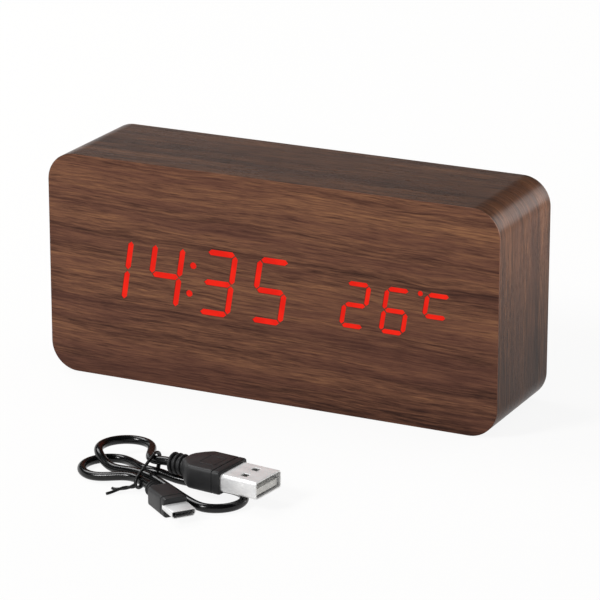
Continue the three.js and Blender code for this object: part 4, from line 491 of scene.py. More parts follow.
FINISHES = {
    "front": walnut(
        "walnut_front", FRONT_TONES, plum=tone(92, 58, 49), seed=2.0, gloss=0.1, roughness=0.42, stripes=0.25,
        dark_bands=FRONT_DARK_BANDS, light_bands=FRONT_LIGHT_BANDS, right_end_darkening=0.06,
    ),
    # The wrap's walnut takes darker tones and a darker plum than the front's, as painted shade.
    "wrap": walnut(
        "walnut_wrap", WRAP_TONES, plum=tone(64, 42, 33), seed=31.0, gloss=0.06, roughness=0.24, stripes=0.36,
    ),
    "fibreboard": fibreboard("fibreboard_raw", tone(150, 116, 80), tone(112, 82, 54)),
    "case_board": fibreboard("fibreboard_stained", tone(96, 70, 52), tone(66, 47, 36)),
    "lit": clear_red("segment_red"),
    "diffuser": milky_film("diffuser_film"),
    "cover": moulded("cover_black", tone(30, 30, 31), tone(38, 38, 38), 0.5, 0.34, 0.03),
    "door": moulded("door_black", tone(28, 28, 29), tone(37, 37, 38), 0.46, 0.34, 0.03),
    "button": moulded("button_black", tone(22, 22, 23), tone(32, 32, 33), 0.34, 0.5, 0.012),
    "mask": moulded("mask_black", tone(24, 24, 25), tone(34, 34, 34), 0.6, 0.3, 0.03),
    "paint": moulded("mark_paint", tone(186, 186, 182), tone(204, 204, 200), 0.55, 0.5, 0.01),
    "chip": moulded("chip_epoxy", tone(22, 22, 24), tone(36, 36, 38), 0.56, 0.18, 0.02),
    "board": circuit_board("solder_mask"),
    "led": moulded("led_epoxy", tone(222, 214, 198), tone(236, 230, 218), 0.3, 0.4, 0.01),
    "ivory": moulded("connector_nylon", tone(214, 206, 186), tone(226, 220, 204), 0.42, 0.4, 0.015),
    "usb_white": moulded("tongue_plastic", tone(216, 216, 212), tone(230, 230, 228), 0.4, 0.4, 0.01),
    "shell": plated("nickel_shell", tone(242, 242, 242), tone(228, 229, 230), 0.36, STEEL_BRUSH, metal=0.3),
    "can": plated("nickel_can", tone(206, 206, 208), tone(176, 177, 180), 0.28, (3.0, 3.0, 0.4)),
    "contact": plated("contact_nickel", tone(204, 202, 196), tone(170, 168, 162), 0.3, (3.0, 0.5, 3.0)),
    "screw": plated("screw_zinc", tone(188, 190, 192), tone(146, 148, 152), 0.32, (2.5, 1.0, 2.5)),
    # The cover screws' recesses are painted darker: painted shade with some grime.
    "cover_screw": plated(
        "cover_screw_zinc", tone(196, 198, 200), tone(158, 160, 164), 0.34, (2.5, 1.0, 2.5),
        recess_shade_and_grime=(COVER_OUTER_Y + 0.5, COVER_OUTER_Y + 0.68),
    ),
    "brass": plated("plunger_brass", tone(206, 170, 98), tone(170, 132, 70), 0.34, (2.5, 0.6, 2.5)),
    "grip": smooth_vinyl("grip_pvc", tone(38, 38, 39), tone(48, 48, 49), 0.46, gloss=0.3),
    "cord": smooth_vinyl("cord_pvc", tone(10, 10, 11), tone(17, 17, 18), 0.2, along_cord=True, gloss=0.35),
    "tie": smooth_vinyl("tie_pvc", tone(14, 14, 14), tone(24, 24, 25), 0.4, gloss=0.3),
    "red_wire": smooth_vinyl("wire_red", tone(168, 26, 22), tone(186, 40, 32), 0.36, along_cord=True),
    "black_wire": smooth_vinyl("wire_black", tone(22, 22, 22), tone(34, 34, 34), 0.36, along_cord=True),
    "ribbon": ribbon_finish("ribbon_grey"),
    "cell": shrink_film(
        "cell_jacket", tone(46, 78, 70), tone(178, 182, 176), far_end=(CELL_HIGH.x - CELL_LOW.x) / 2,
    ),
}

# The CAD nodes that keep their own shape, and their finish
NODE_FINISHES = {
    "front_panel": "fibreboard",
    "wood_case": "case_board",
    "diffuser_film": "diffuser",
    "segment_mask": "mask",
    "led_array": "led",
    "display_board": "board",
    "display_driver": "chip",
    "display_connector": "ivory",
    "control_board": "board",
    "usb_socket_tongue": "chip",
    "buzzer": "chip",
    "microphone": "can",
    "temperature_sensor": "chip",
    "control_chip": "chip",
    "clock_crystal": "can",
    "backup_cell_holder": "ivory",
    "backup_cell": "can",
    "control_connector": "ivory",
    "ribbon_cable": "ribbon",
    "battery_wire_positive": "red_wire",
    "battery_wire_negative": "black_wire",
    "usb_a_tongue": "usb_white",
    "micro_usb_tongue": "chip",
}
NODE_FINISHES |= {f"display_screw_{number}": "screw" for number in range(1, 5)}
NODE_FINISHES |= {f"{name}_switch": "chip" for name in ("set", "up", "down")}
NODE_FINISHES |= {f"{name}_switch_plunger": "brass" for name in ("set", "up", "down")}


# Outlines are lists of points on a plane
def rounded_rectangle(width, height, radius, x=0.0, z=0.0, steps=14):
    """Starts at the middle of the lower side and goes round against the clock."""
    outline = [(x, z - height / 2)]
    for quarter, (side, level) in enumerate(((1, -1), (1, 1), (-1, 1), (-1, -1))):
        centre_x = x + side * (width / 2 - radius)
        centre_z = z + level * (height / 2 - radius)
        for step in range(steps + 1):
            angle = math.radians(90) * (quarter - 1 + step / steps)
            outline.append((centre_x + radius * math.cos(angle), centre_z + radius * math.sin(angle)))
    return outline


def circle(radius, x=0.0, z=0.0, sides=40):
    angles = [math.tau * side / sides for side in range(sides)]
    return [(x + radius * math.cos(angle), z + radius * math.sin(angle)) for angle in angles]


def area_of(outline):
    turns = zip(outline, outline[1:] + outline[:1])
    return sum(x1 * z2 - x2 * z1 for (x1, z1), (x2, z2) in turns) / 2


def drawn_in(outline, distance):
    """The outline moved by a distance towards its left side, where the material is."""
    moved = []
    for before, here, after in zip(outline[-1:] + outline[:-1], outline, outline[1:] + outline[:1]):
        came = (Vector(here) - Vector(before)).normalized()
        goes = (Vector(after) - Vector(here)).normalized()
        left_came, left_goes = came.orthogonal(), goes.orthogonal()
        mitre = (left_came + left_goes) / (1 + left_came.dot(left_goes))
        moved.append(tuple(Vector(here) + mitre * distance))
    return moved


# Meshes
def add_band(bm, first, second):
    """Joins two rings of as many points with faces."""
    for index in range(len(first)):
        after = (index + 1) % len(first)
        bm.faces.new((first[index], first[after], second[after], second[index])).smooth = True


def set_creases(bm, angle=32):
    """Keeps as sharp the edges that turn by more than an angle."""
    for edge in bm.edges:
        if edge.is_manifold and edge.calc_face_angle(0) > math.radians(angle):
            edge.smooth = False


def edge_levels(depth, radius, rows, way):
    """The depth and the inset of each ring that rounds an edge, from the flat face inwards."""
    if not radius:
        return [(depth, 0)]
    angles = [math.radians(90) * row / rows for row in range(rows + 1)]
    return [
        (depth + way * radius * (1 - math.cos(angle)), radius * (1 - math.sin(angle)))
        for angle in angles
    ]


def plate(outlines, low, high, edges=(0.1, 0.1), rows=3):
    """An upright plate from depth low to high. The first outline is its rim and the others are its holes.
    edges are the radii of its edges at low and at high. Its rims are unrolled and its faces stay flat."""
    bm = bmesh.new()
    unrolled = bm.loops.layers.uv.new("UVMap")
    ways = [
        outline if (area_of(outline) > 0) == (index == 0) else outline[::-1]
        for index, outline in enumerate(outlines)
    ]
    low_levels = edge_levels(low, edges[0], rows, 1)
    high_levels = edge_levels(high, edges[1], rows, -1)[::-1]
    rings = [
        [[bm.verts.new((x, depth, z)) for x, z in drawn_in(outline, inset)] for outline in ways]
        for depth, inset in low_levels + high_levels
    ]
    for lower, upper in zip(rings, rings[1:]):
        for first, second in zip(lower, upper):
            add_band(bm, first, second)
    unroll_rims(bm, unrolled, ways, rings)
    sharpen_rings(bm, rings[len(low_levels) - 1])
    sharpen_rings(bm, rings[len(low_levels)])
    for level in (rings[0], rings[-1]):
        corners = [vert for ring in level for vert in ring]
        flat = [[Vector((vert.co.x, vert.co.z, 0)) for vert in ring] for ring in level]
        for three in tessellate_polygon(flat):
            face = bm.faces.new([corners[index] for index in three])
            face.smooth = False
            for loop in face.loops:
                loop[unrolled].uv = (loop.vert.co.x, loop.vert.co.z)
    bmesh.ops.recalc_face_normals(bm, faces=bm.faces)
    set_creases(bm)
    return bm


def unroll_rims(bm, unrolled, outlines, rings):
    """Unrolls each rim by its length from the outline's first point, and by its depth."""
    lengths, girths = {}, {}
    for number, outline in enumerate(outlines):
        length = 0.0
        for index, point in enumerate(outline):
            for level in rings:
                lengths[level[number][index]] = length
            length += math.dist(point, outline[(index + 1) % len(outline)])
        girths |= {level[number][0]: length for level in rings}
    for face in bm.faces:
        furthest = max(lengths[loop.vert] for loop in face.loops)
        for loop in face.loops:
            girth = girths.get(loop.vert, 0)
            closes = girth and furthest > girth / 2
            loop[unrolled].uv = (girth if closes else lengths[loop.vert], loop.vert.co.y)


def sharpen_rings(bm, level):
    """Keeps as sharp the edges that run along the rings of one level."""
    corners = {vert for ring in level for vert in ring}
    for edge in bm.edges:
        if edge.verts[0] in corners and edge.verts[1] in corners:
            edge.smooth = False


def turned(profile, sides=48):
    """A shape turned about the Y axis from pairs of radius and place, closed at both ends."""
    bm = bmesh.new()
    unrolled = bm.loops.layers.uv.new("UVMap")
    rings = []
    for radius, place in profile:
        if radius == 0:
            rings.append([bm.verts.new((0, place, 0))])
        else:
            rings.append([bm.verts.new((x, place, z)) for x, z in circle(radius, sides=sides)])
    for first, second in zip(rings, rings[1:]):
        if len(first) == len(second):
            add_band(bm, first, second)
            continue
        pole, ring = (first[0], second) if len(first) == 1 else (second[0], first)
        for index in range(sides):
            bm.faces.new((pole, ring[index], ring[(index + 1) % sides])).smooth = True
    widest = max(radius for radius, _ in profile)
    for face in bm.faces:
        for loop in face.loops:
            angle = math.atan2(loop.vert.co.z, loop.vert.co.x)
            loop[unrolled].uv = (angle * widest, loop.vert.co.y)
    bmesh.ops.recalc_face_normals(bm, faces=bm.faces)
    set_creases(bm)
    return bm


def lofted(sections):
    """A closed skin over sections of as many points, listed from end to end."""
    bm = bmesh.new()
    rings = [[bm.verts.new(point) for point in section] for section in sections]
    for first, second in zip(rings, rings[1:]):
        add_band(bm, first, second)
    for ring in (rings[0], rings[-1]):
        bm.faces.new(ring).smooth = False
    bmesh.ops.recalc_face_normals(bm, faces=bm.faces)
    set_creases(bm)
    return bm


def swept(points, section, closed=False):
    """A section, in pairs of sideways and upward, carried along points without twisting."""
    bm = bmesh.new()
    points = [Vector(point) for point in points]
    count = len(points)
    if closed:
        ways = [(points[(i + 1) % count] - points[i - 1]).normalized() for i in range(count)]
    else:
        ways = [(points[min(i + 1, count - 1)] - points[max(i - 1, 0)]).normalized() for i in range(count)]
    up = ways[0].orthogonal().normalized()
    rings = []
    for point, way in zip(points, ways):
        up = (up - way * up.dot(way)).normalized()
        side = way.cross(up)
        rings.append([bm.verts.new(point + side * a + up * b) for a, b in section])
    for first, second in zip(rings, rings[1:] + rings[:1] if closed else rings[1:]):
        add_band(bm, first, second)
    if not closed:
        bm.faces.new(rings[0])
        bm.faces.new(rings[-1])
    bmesh.ops.recalc_face_normals(bm, faces=bm.faces)
    set_creases(bm, 50)
    return bm


def block(low, high, edge):
    """A rectangular block with its edges rounded."""
    bm = bmesh.new()
    bmesh.ops.create_cube(bm, size=1)
    for vert in bm.verts:
        vert.co = Vector([least if side < 0 else most for least, most, side in zip(low, high, vert.co)])
    bmesh.ops.bevel(bm, geom=bm.edges[:], offset=edge, segments=3, affect="EDGES", profile=0.5)
    for face in bm.faces:
        face.smooth = True
    set_creases(bm, 40)
    return bm


def in_scene(name, data):
    """A new object in the scene."""
    made = bpy.data.objects.new(name, data)
    bpy.context.scene.collection.objects.link(made)
    return made


def mesh_from(name, bm):
    """The finished mesh of a mesh in the making."""
    mesh = bpy.data.meshes.new(name)
    bm.to_mesh(mesh)
    bm.free()
    return mesh


def carried_out(made):
    """What an object's modifiers make of it, as a mesh in the making. The object itself goes."""
    evaluated = made.evaluated_get(bpy.context.evaluated_depsgraph_get())
    result = bpy.data.meshes.new_from_object(evaluated)
    old = made.data
    bpy.data.objects.remove(made)
    bpy.data.meshes.remove(old)
    bm = bmesh.new()
    bm.from_mesh(result)
    bpy.data.meshes.remove(result)
    return bm


def joined(*parts):
    """Puts several meshes in the making into one."""
    whole = bmesh.new()
    for part in parts:
        mesh = mesh_from("part", part)
        whole.from_mesh(mesh)
        bpy.data.meshes.remove(mesh)
    return whole


def carved(shape, cutters):
    """A mesh in the making with others taken away from it."""
    solid = in_scene("carved", mesh_from("carved", shape))
    tools = [in_scene("cutter", mesh_from("cutter", cutter)) for cutter in cutters]
    for tool in tools:
        modifier = solid.modifiers.new("cut", "BOOLEAN")
        modifier.operation = "DIFFERENCE"
        modifier.solver = "EXACT"
        modifier.object = tool
    bm = carried_out(solid)
    for tool in tools:
        bpy.data.objects.remove(tool)
    set_creases(bm)
    return bm


def softened(node, edge):
    """A node's own shape with its doubled points merged and its sharp edges rounded, in metres."""
    bm = bmesh.new()
    bm.from_mesh(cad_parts[node].data)
    bmesh.ops.remove_doubles(bm, verts=bm.verts, dist=1e-7)
    bmesh.ops.dissolve_limit(bm, angle_limit=math.radians(1), verts=bm.verts, edges=bm.edges)
    sharp = [item for item in bm.edges if item.is_manifold and item.calc_face_angle(0) > math.radians(30)]
    bmesh.ops.bevel(bm, geom=sharp, offset=edge * MM, segments=2, affect="EDGES", clamp_overlap=True)
    for face in bm.faces:
        face.smooth = True
    bmesh.ops.triangulate(bm, faces=[face for face in bm.faces if len(face.verts) > 4])
    set_creases(bm, 35)
    return bm


def piece(name, shape, place, finish, body="clock", replaces=()):
    """Makes a finished piece of a mesh in the making, brings it to its place, hangs it on its body and hides
    the nodes that it replaces.
    """
    mesh = mesh_from(name, shape)
    mesh.transform(place)
    mesh.materials.clear()
    mesh.materials.append(FINISHES[finish])
    made = in_scene(name, mesh)
    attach(made, body)
    if replaces:
        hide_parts(*replaces)
    return made


# Geometry Nodes
class Recipe:
    """A Geometry Nodes tree in the making, with named sizes."""

    def __init__(self, name, sizes):
        self.tree = bpy.data.node_groups.new(name, "GeometryNodeTree")
        for way in ("INPUT", "OUTPUT"):
            self.tree.interface.new_socket("Geometry", in_out=way, socket_type="NodeSocketGeometry")
        for size in sizes:
            self.tree.interface.new_socket(size, in_out="INPUT", socket_type="NodeSocketFloat")
        self.entry = self.tree.nodes.new("NodeGroupInput")

    def size(self, name):
        return self.entry.outputs[name]

    def node(self, kind, settings=None, sockets=None, output=0):
        node = self.tree.nodes.new(kind)
        for setting, value in (settings or {}).items():
            setattr(node, setting, value)
        for name, value in (sockets or {}).items():
            for each in value if isinstance(value, list) else [value]:
                if isinstance(each, bpy.types.NodeSocket):
                    self.tree.links.new(each, node.inputs[name])
                else:
                    node.inputs[name].default_value = each
        return node.outputs[output]

    def sum(self, operation, first, second=0.0):
        return self.node("ShaderNodeMath", {"operation": operation}, {0: first, 1: second})

    def point(self, x=0.0, y=0.0, z=0.0):
        return self.node("ShaderNodeCombineXYZ", sockets={0: x, 1: y, 2: z})

    def moved(self, geometry, place=(0, 0, 0), turn=(0, 0, 0), scale=(1, 1, 1)):
        sockets = {"Geometry": geometry, "Translation": place, "Rotation": turn, "Scale": scale}
        return self.node("GeometryNodeTransform", sockets=sockets)

    def round_section(self, sides, radius=1.0):
        sockets = {"Resolution": sides, "Radius": radius}
        return self.node("GeometryNodeCurvePrimitiveCircle", sockets=sockets)

    def tube(self, route, section, scale=1.0, capped=False):
        sockets = {"Curve": route, "Profile Curve": section, "Scale": scale, "Fill Caps": capped}
        return self.node("GeometryNodeCurveToMesh", sockets=sockets)

    def served(self, shape, finish, turn=(0, 0, 0)):
        """Ends the tree: the shape on each point, as real meshes with their finish."""
        sockets = {"Points": self.entry.outputs[0], "Instance": shape, "Rotation": turn}
        placed = self.node("GeometryNodeInstanceOnPoints", sockets=sockets)
        real = self.node("GeometryNodeRealizeInstances", sockets={0: placed})
        smooth = self.node("GeometryNodeSetShadeSmooth", sockets={"Geometry": real, "Shade Smooth": True})
        sockets = {"Geometry": smooth, "Material": FINISHES[finish]}
        dressed = self.node("GeometryNodeSetMaterial", sockets=sockets)
        last = self.tree.nodes.new("NodeGroupOutput")
        self.tree.links.new(dressed, last.inputs[0])

    def made(self, points, **sizes):
        """Carries the recipe out on points."""
        mesh = bpy.data.meshes.new("carrier")
        mesh.from_pydata([tuple(point) for point in points], [], [])
        carrier = in_scene("carrier", mesh)
        modifier = carrier.modifiers.new("recipe", "NODES")
        modifier.node_group = self.tree
        for item in self.tree.interface.items_tree:
            if item.in_out == "INPUT" and item.name in sizes:
                modifier[item.identifier] = sizes[item.name]
        bm = carried_out(carrier)
        set_creases(bm)
        return bm


def screw_recipe():
    """Crowned screws with a cross recess, one on each point, facing back. Each is turned by chance."""
    recipe = Recipe("screws", (
        "head_radius", "head_height", "crown", "recess_width", "recess_depth", "recess_length",
        "shank_radius", "shank_length",
    ))
    radius, height = recipe.size("head_radius"), recipe.size("head_height")
    head = recipe.node("GeometryNodeMeshCylinder", sockets={
        "Vertices": 40, "Side Segments": 1, "Fill Segments": 8, "Radius": radius, "Depth": height,
    })
    head = recipe.moved(head, recipe.point(z=recipe.sum("DIVIDE", height, 2)))
    place = recipe.node("GeometryNodeInputPosition")
    across = recipe.node("ShaderNodeVectorMath", {"operation": "MULTIPLY"}, {0: place, 1: (1, 1, 0)})
    distance = recipe.node("ShaderNodeVectorMath", {"operation": "LENGTH"}, {0: across}, output="Value")
    share = recipe.sum("DIVIDE", distance, radius)
    upper = recipe.node("ShaderNodeSeparateXYZ", sockets={0: place}, output=2)
    is_top = recipe.sum("GREATER_THAN", upper, recipe.sum("DIVIDE", height, 2))
    fall = recipe.sum("MULTIPLY", recipe.sum("POWER", share, 3), recipe.size("crown"))
    drop = recipe.sum("MULTIPLY", recipe.sum("MULTIPLY", fall, is_top), -1)
    head = recipe.node("GeometryNodeSetPosition", sockets={"Geometry": head, "Offset": recipe.point(z=drop)})
    depth = recipe.sum("MULTIPLY", recipe.size("recess_depth"), 2)
    size = recipe.point(recipe.size("recess_length"), recipe.size("recess_width"), depth)
    arm = recipe.node("GeometryNodeMeshCube", sockets={"Size": size})
    arms = [recipe.moved(arm, recipe.point(z=height), (0, 0, turn)) for turn in (0, math.radians(90))]
    settings = {"operation": "DIFFERENCE", "solver": "EXACT"}
    head = recipe.node("GeometryNodeMeshBoolean", settings, {"Mesh 1": head, "Mesh 2": arms})
    shank = recipe.node("GeometryNodeMeshCylinder", sockets={
        "Vertices": 24, "Radius": recipe.size("shank_radius"), "Depth": recipe.size("shank_length"),
    })
    shank = recipe.moved(shank, recipe.point(z=recipe.sum("DIVIDE", recipe.size("shank_length"), -2)))
    whole = recipe.node("GeometryNodeJoinGeometry", sockets={"Geometry": [head, shank]})
    whole = recipe.moved(whole, turn=(math.radians(-90), 0, 0))
    sockets = {"Min": 0.0, "Max": 1.5, "Seed": 7}
    chance = recipe.node("FunctionNodeRandomValue", {"data_type": "FLOAT"}, sockets, output=1)
    recipe.served(whole, "cover_screw", recipe.point(y=chance))
    return recipe


def rib_recipe():
    """Half-round ribs across, one on each point, tapering at both ends."""
    recipe = Recipe("ribs", ("length", "width", "height"))
    half = recipe.sum("DIVIDE", recipe.size("length"), 2)
    line = recipe.node("GeometryNodeCurvePrimitiveLine", sockets={
        "Start": recipe.point(x=recipe.sum("MULTIPLY", half, -1)), "End": recipe.point(x=half),
    })
    line = recipe.node("GeometryNodeResampleCurve", sockets={"Curve": line, "Count": 33})
    share = recipe.node("GeometryNodeSplineParameter", output="Factor")
    from_middle = recipe.sum("ABSOLUTE", recipe.sum("SUBTRACT", recipe.sum("MULTIPLY", share, 2), 1))
    fullness = recipe.sum("SQRT", recipe.sum("SUBTRACT", 1.0001, recipe.sum("POWER", from_middle, 14)))
    scale = recipe.point(recipe.sum("DIVIDE", recipe.size("width"), 2), recipe.size("height"), 1.0)
    section = recipe.moved(recipe.round_section(16), scale=scale)
    recipe.served(recipe.tube(line, section, scale=fullness, capped=True), "door")
    return recipe


def ring_recipe():
    """Moulded rings round a neck along X, one on each point."""
    recipe = Recipe("rings", ("radius", "width", "height"))
    route = recipe.round_section(48, recipe.size("radius"))
    scale = recipe.point(recipe.size("height"), recipe.sum("DIVIDE", recipe.size("width"), 2), 1.0)
    ring = recipe.tube(route, recipe.moved(recipe.round_section(14), scale=scale))
    recipe.served(recipe.moved(ring, turn=(0, math.radians(90), 0)), "grip")
    return recipe


def spring_recipe():
    """A conical battery spring on each point, growing along X from its wide end."""
    recipe = Recipe("springs", ("coils", "base_radius", "tip_radius", "length", "wire_radius"))
    spiral = recipe.node("GeometryNodeCurveSpiral", sockets={
        "Resolution": 28, "Rotations": recipe.size("coils"), "Start Radius": recipe.size("base_radius"),
        "End Radius": recipe.size("tip_radius"), "Height": recipe.size("length"),
    })
    coil = recipe.tube(spiral, recipe.round_section(10, recipe.size("wire_radius")), capped=True)
    recipe.served(recipe.moved(coil, turn=(0, math.radians(90), 0)), "contact")
    return recipe


# Digits, drawn as the solids have them: seven segments with pointed ends, leaning to the right
DIGIT_LEAN = math.tan(math.radians(9))
SEGMENT_GAP = 0.3
WINDOW_CLEARANCE = 0.08
LIT_RECESS = 0.04
PAD_OVERLAP = 0.2
SEGMENT_ENDS = {
    "a": ((-1, 1), (1, 1)),
    "b": ((1, 1), (1, 0)),
    "c": ((1, 0), (1, -1)),
    "d": ((-1, -1), (1, -1)),
    "e": ((-1, 0), (-1, -1)),
    "f": ((-1, 1), (-1, 0)),
    "g": ((-1, 0), (1, 0)),
}
TIME_DIGITS = {
    "x": CASE_WIDTH * (0.3277 - 0.5),
    "z": 0.4,
    "width": CASE_WIDTH * 0.0627,
    "height": 19.2,
    "pitch": CASE_WIDTH * 0.1185,
    "stroke": 1.7,
    "lit": ("bc", "bcfg", "abcdg", "acdfg"),
    "dots": ((0, 4.5), (0, -4.5)),
    "dot_radius": 1.0,
}
TEMPERATURE_DIGITS = {
    "x": CASE_WIDTH * (0.7793 - 0.5),
    "z": 0.1,
    "width": CASE_WIDTH * 0.0467,
    "height": 13.3,
    "pitch": CASE_WIDTH * 0.0863,
    "stroke": 1.35,
    "lit": ("abdeg", "acdefg", "afg"),
    "dots": ((CASE_WIDTH * 0.0472, 6.65),),
    "dot_radius": 0.75,
}


def leaning(digits, x, z):
    return (digits["x"] + x + z * DIGIT_LEAN, digits["z"] + z)


def segment_outline(digits, index, name, clearance):
    centre = (index - (len(digits["lit"]) - 1) / 2) * digits["pitch"]
    start, end = (
        Vector((centre + share_x * digits["width"] / 2, share_z * digits["height"] / 2))
        for share_x, share_z in SEGMENT_ENDS[name]
    )
    along = (end - start).normalized()
    side = Vector((-along.y, along.x))
    half = digits["stroke"] / 2
    tip, shoulder = SEGMENT_GAP - clearance, SEGMENT_GAP + half
    corners = (
        start + along * tip,
        start + along * shoulder - side * (half + clearance),
        end - along * shoulder - side * (half + clearance),
        end - along * tip,
        end - along * shoulder + side * (half + clearance),
        start + along * shoulder + side * (half + clearance),
    )
    return [leaning(digits, corner.x, corner.y) for corner in corners]


def lit_outlines(digits, clearance):
    segments = [
        segment_outline(digits, index, name, clearance)
        for index, names in enumerate(digits["lit"]) for name in names
    ]
    dots = [
        circle(digits["dot_radius"] + clearance, *leaning(digits, x, z), sides=36)
        for x, z in digits["dots"]
    ]
    return segments + dots


def dark_outlines(digits):
    return [
        segment_outline(digits, index, name, 0)
        for index, names in enumerate(digits["lit"]) for name in SEGMENT_ENDS if name not in names
    ]


# Pieces of the clock
def make_front_veneer():
    outline = rounded_rectangle(CASE_WIDTH, CASE_HEIGHT, CASE_CORNER, steps=20)
    windows = lit_outlines(TIME_DIGITS, WINDOW_CLEARANCE)
    windows += lit_outlines(TEMPERATURE_DIGITS, WINDOW_CLEARANCE)
    shape = plate([outline, *windows], FRONT_LOW.y, FRONT_HIGH.y, edges=(0.07, 0), rows=2)
    piece("veneer_front", shape, IN_CLOCK, "front", replaces=["front_veneer"])


def make_wrap_veneer():
    outer = rounded_rectangle(CASE_WIDTH, CASE_HEIGHT, CASE_CORNER, steps=20)
    inset = 2 * VENEER_THICKNESS
    inner = rounded_rectangle(
        CASE_WIDTH - inset, CASE_HEIGHT - inset, CASE_CORNER - VENEER_THICKNESS, steps=20,
    )
    shape = plate([outer, inner], WRAP_LOW.y, WRAP_HIGH.y, edges=(0, 0.12))
    piece("veneer_wrap", shape, IN_CLOCK, "wrap", replaces=["case_wrap_veneer"])


def make_lit_digits(name, digits, node):
    """The light guide behind a group of digits: its backing, its dark pads and its lit pads."""
    low, high = box_of(node)
    size, middle = high - low, (low + high) / 2
    guide_front = high.y - GUIDE_THICKNESS
    pad_root = guide_front + PAD_OVERLAP
    lit_front = FRONT_LOW.y + LIT_RECESS
    backing = rounded_rectangle(size.x, size.z, GUIDE_CORNER, middle.x, middle.z)
    parts = [plate([backing], guide_front, high.y)]
    for outline in lit_outlines(digits, 0):
        parts.append(plate([outline], lit_front, pad_root, edges=(0.03, 0), rows=2))
    for outline in dark_outlines(digits):
        parts.append(plate([outline], WRAP_LOW.y, pad_root, edges=(0.03, 0), rows=1))
    piece(name, joined(*parts), IN_CLOCK, "lit", replaces=[node])


def make_rear_cover():
    button_places = [middle_of(node) for node in BUTTON_NODES]
    holes = cover_holes(button_places)
    outline = rounded_rectangle(COVER_WIDTH, COVER_HEIGHT, COVER_CORNER, steps=18)
    doorway = rounded_rectangle(
        DOOR_WIDTH + 2 * DOOR_GAP, 2 * (DOOR_TOP + DOOR_GAP), DOOR_CORNER + DOOR_GAP, DOOR_X, steps=8,
    )
    scoop_floor = COVER_OUTER_Y - SCOOP_DEPTH
    face = plate([outline, scooped(doorway), *holes], scoop_floor, COVER_OUTER_Y, edges=(0, 0.22))
    back = plate([outline, doorway, *holes], COVER_INNER_Y, scoop_floor, edges=(0.2, 0))
    piece("cover_panel", joined(face, back), IN_CLOCK, "cover", replaces=["rear_cover"])
    make_battery_bay()
    make_button_marks(button_places)


def cover_holes(button_places):
    """Openings through the cover: buttons, screws, socket, microphone, sound holes and vent slots."""
    socket, microphone = middle_of("usb_socket_shell"), middle_of("microphone")
    buzzer, sensor = middle_of("buzzer"), middle_of("temperature_sensor")
    half, level, chamfer = SOCKET_HOLE_WIDTH / 2, SOCKET_HOLE_HEIGHT / 2, SOCKET_HOLE_CHAMFER
    socket_corners = (
        (-half, level), (-half, chamfer - level), (chamfer - half, -level),
        (half - chamfer, -level), (half, chamfer - level), (half, level),
    )
    sound_places = [(0, 0), *circle(SOUND_RING_RADIUS, sides=6)]
    screw_places = [middle_of(node) for node in SCREW_NODES]
    vent_levels = [sensor.z + count * VENT_PITCH for count in (-1, 0, 1)]
    return [
        *[circle(BUTTON_HOLE_RADIUS, place.x, place.z, sides=48) for place in button_places],
        *[circle(SCREW_HOLE_RADIUS, place.x, place.z, sides=24) for place in screw_places],
        [(socket.x + x, socket.z + z) for x, z in socket_corners],
        circle(MICROPHONE_HOLE_RADIUS, microphone.x, microphone.z, sides=24),
        *[circle(SOUND_HOLE_RADIUS, buzzer.x + x, buzzer.z + z, sides=24) for x, z in sound_places],
        *[rounded_rectangle(VENT_LENGTH, VENT_WIDTH, VENT_CORNER, sensor.x, z, steps=6) for z in vent_levels],
    ]


def scooped(doorway):
    """The doorway's outline with the finger scoop let into its upper side."""
    sill = DOOR_TOP + DOOR_GAP
    reach = math.sqrt(SCOOP_RADIUS ** 2 - DOOR_GAP ** 2)
    angles = [math.pi * step / 24 for step in range(25)]
    scoop = [
        (DOOR_X + SCOOP_RADIUS * math.cos(angle), DOOR_TOP + SCOOP_RADIUS * math.sin(angle))
        for angle in angles if SCOOP_RADIUS * math.sin(angle) > DOOR_GAP
    ]
    start, *others = doorway
    right = [point for point in others if point[0] > DOOR_X]
    left = [point for point in others if point[0] < DOOR_X]
    return [start, *right, (DOOR_X + reach, sill), *scoop, (DOOR_X - reach, sill), *left]


def make_battery_bay():
    """The bay behind the door, with notches for the tongues of the door, and the posts for the board."""
    floor_back = CELL_LOW.y - CELL_CLEARANCE
    floor_front = floor_back - BAY_FLOOR
    wall_back = COVER_INNER_Y + 0.1
    outer = rounded_rectangle(BAY_LENGTH + 2 * BAY_WALL, BAY_HEIGHT + 2 * BAY_WALL, BAY_WALL, DOOR_X)[1:]
    inner = rounded_rectangle(BAY_LENGTH, BAY_HEIGHT, BAY_CORNER, DOOR_X)[1:]
    walls = plate([outer, inner], floor_front, wall_back, edges=(0.3, 0.2))
    half_notch = TONGUE_HALF_WIDTH + DOOR_GAP
    notches = [
        block(
            (x - half_notch, wall_back - NOTCH_DEPTH, DOOR_LOW.z - DOOR_GAP),
            (x + half_notch, wall_back + CUT_OVERRUN, CUT_OVERRUN - BAY_HEIGHT / 2),
            0.05,
        )
        for x in TONGUE_PLACES
    ]
    floor_outline = rounded_rectangle(BAY_LENGTH + BAY_WALL, BAY_HEIGHT + BAY_WALL, BAY_CORNER, DOOR_X)
    floor = plate([floor_outline], floor_front + 0.01, floor_back)
    posts = [
        board_post(x, z)
        for x in (BOARD_LOW.x + POST_INSET, BOARD_HIGH.x - POST_INSET)
        for z in (BOARD_LOW.z + POST_INSET, BOARD_HIGH.z - POST_INSET)
    ]
    bay = joined(carved(walls, notches), floor, *posts)
    piece("battery_bay", bay, IN_CLOCK, "cover", replaces=["rear_cover"])


def board_post(x, z):
    """A post that the control board rests on, with a pin through the board."""
    tip = BOARD_LOW.y - PIN_REACH
    seat = BOARD_HIGH.y + 0.1
    root = COVER_INNER_Y + 0.2
    post = turned([
        (0, tip), (PIN_RADIUS - PIN_CHAMFER, tip), (PIN_RADIUS, tip + PIN_CHAMFER), (PIN_RADIUS, seat),
        (POST_RADIUS, seat), (POST_RADIUS, root), (0, root),
    ], sides=28)
    bmesh.ops.translate(post, verts=post.verts, vec=(x, 0, z))
    return post


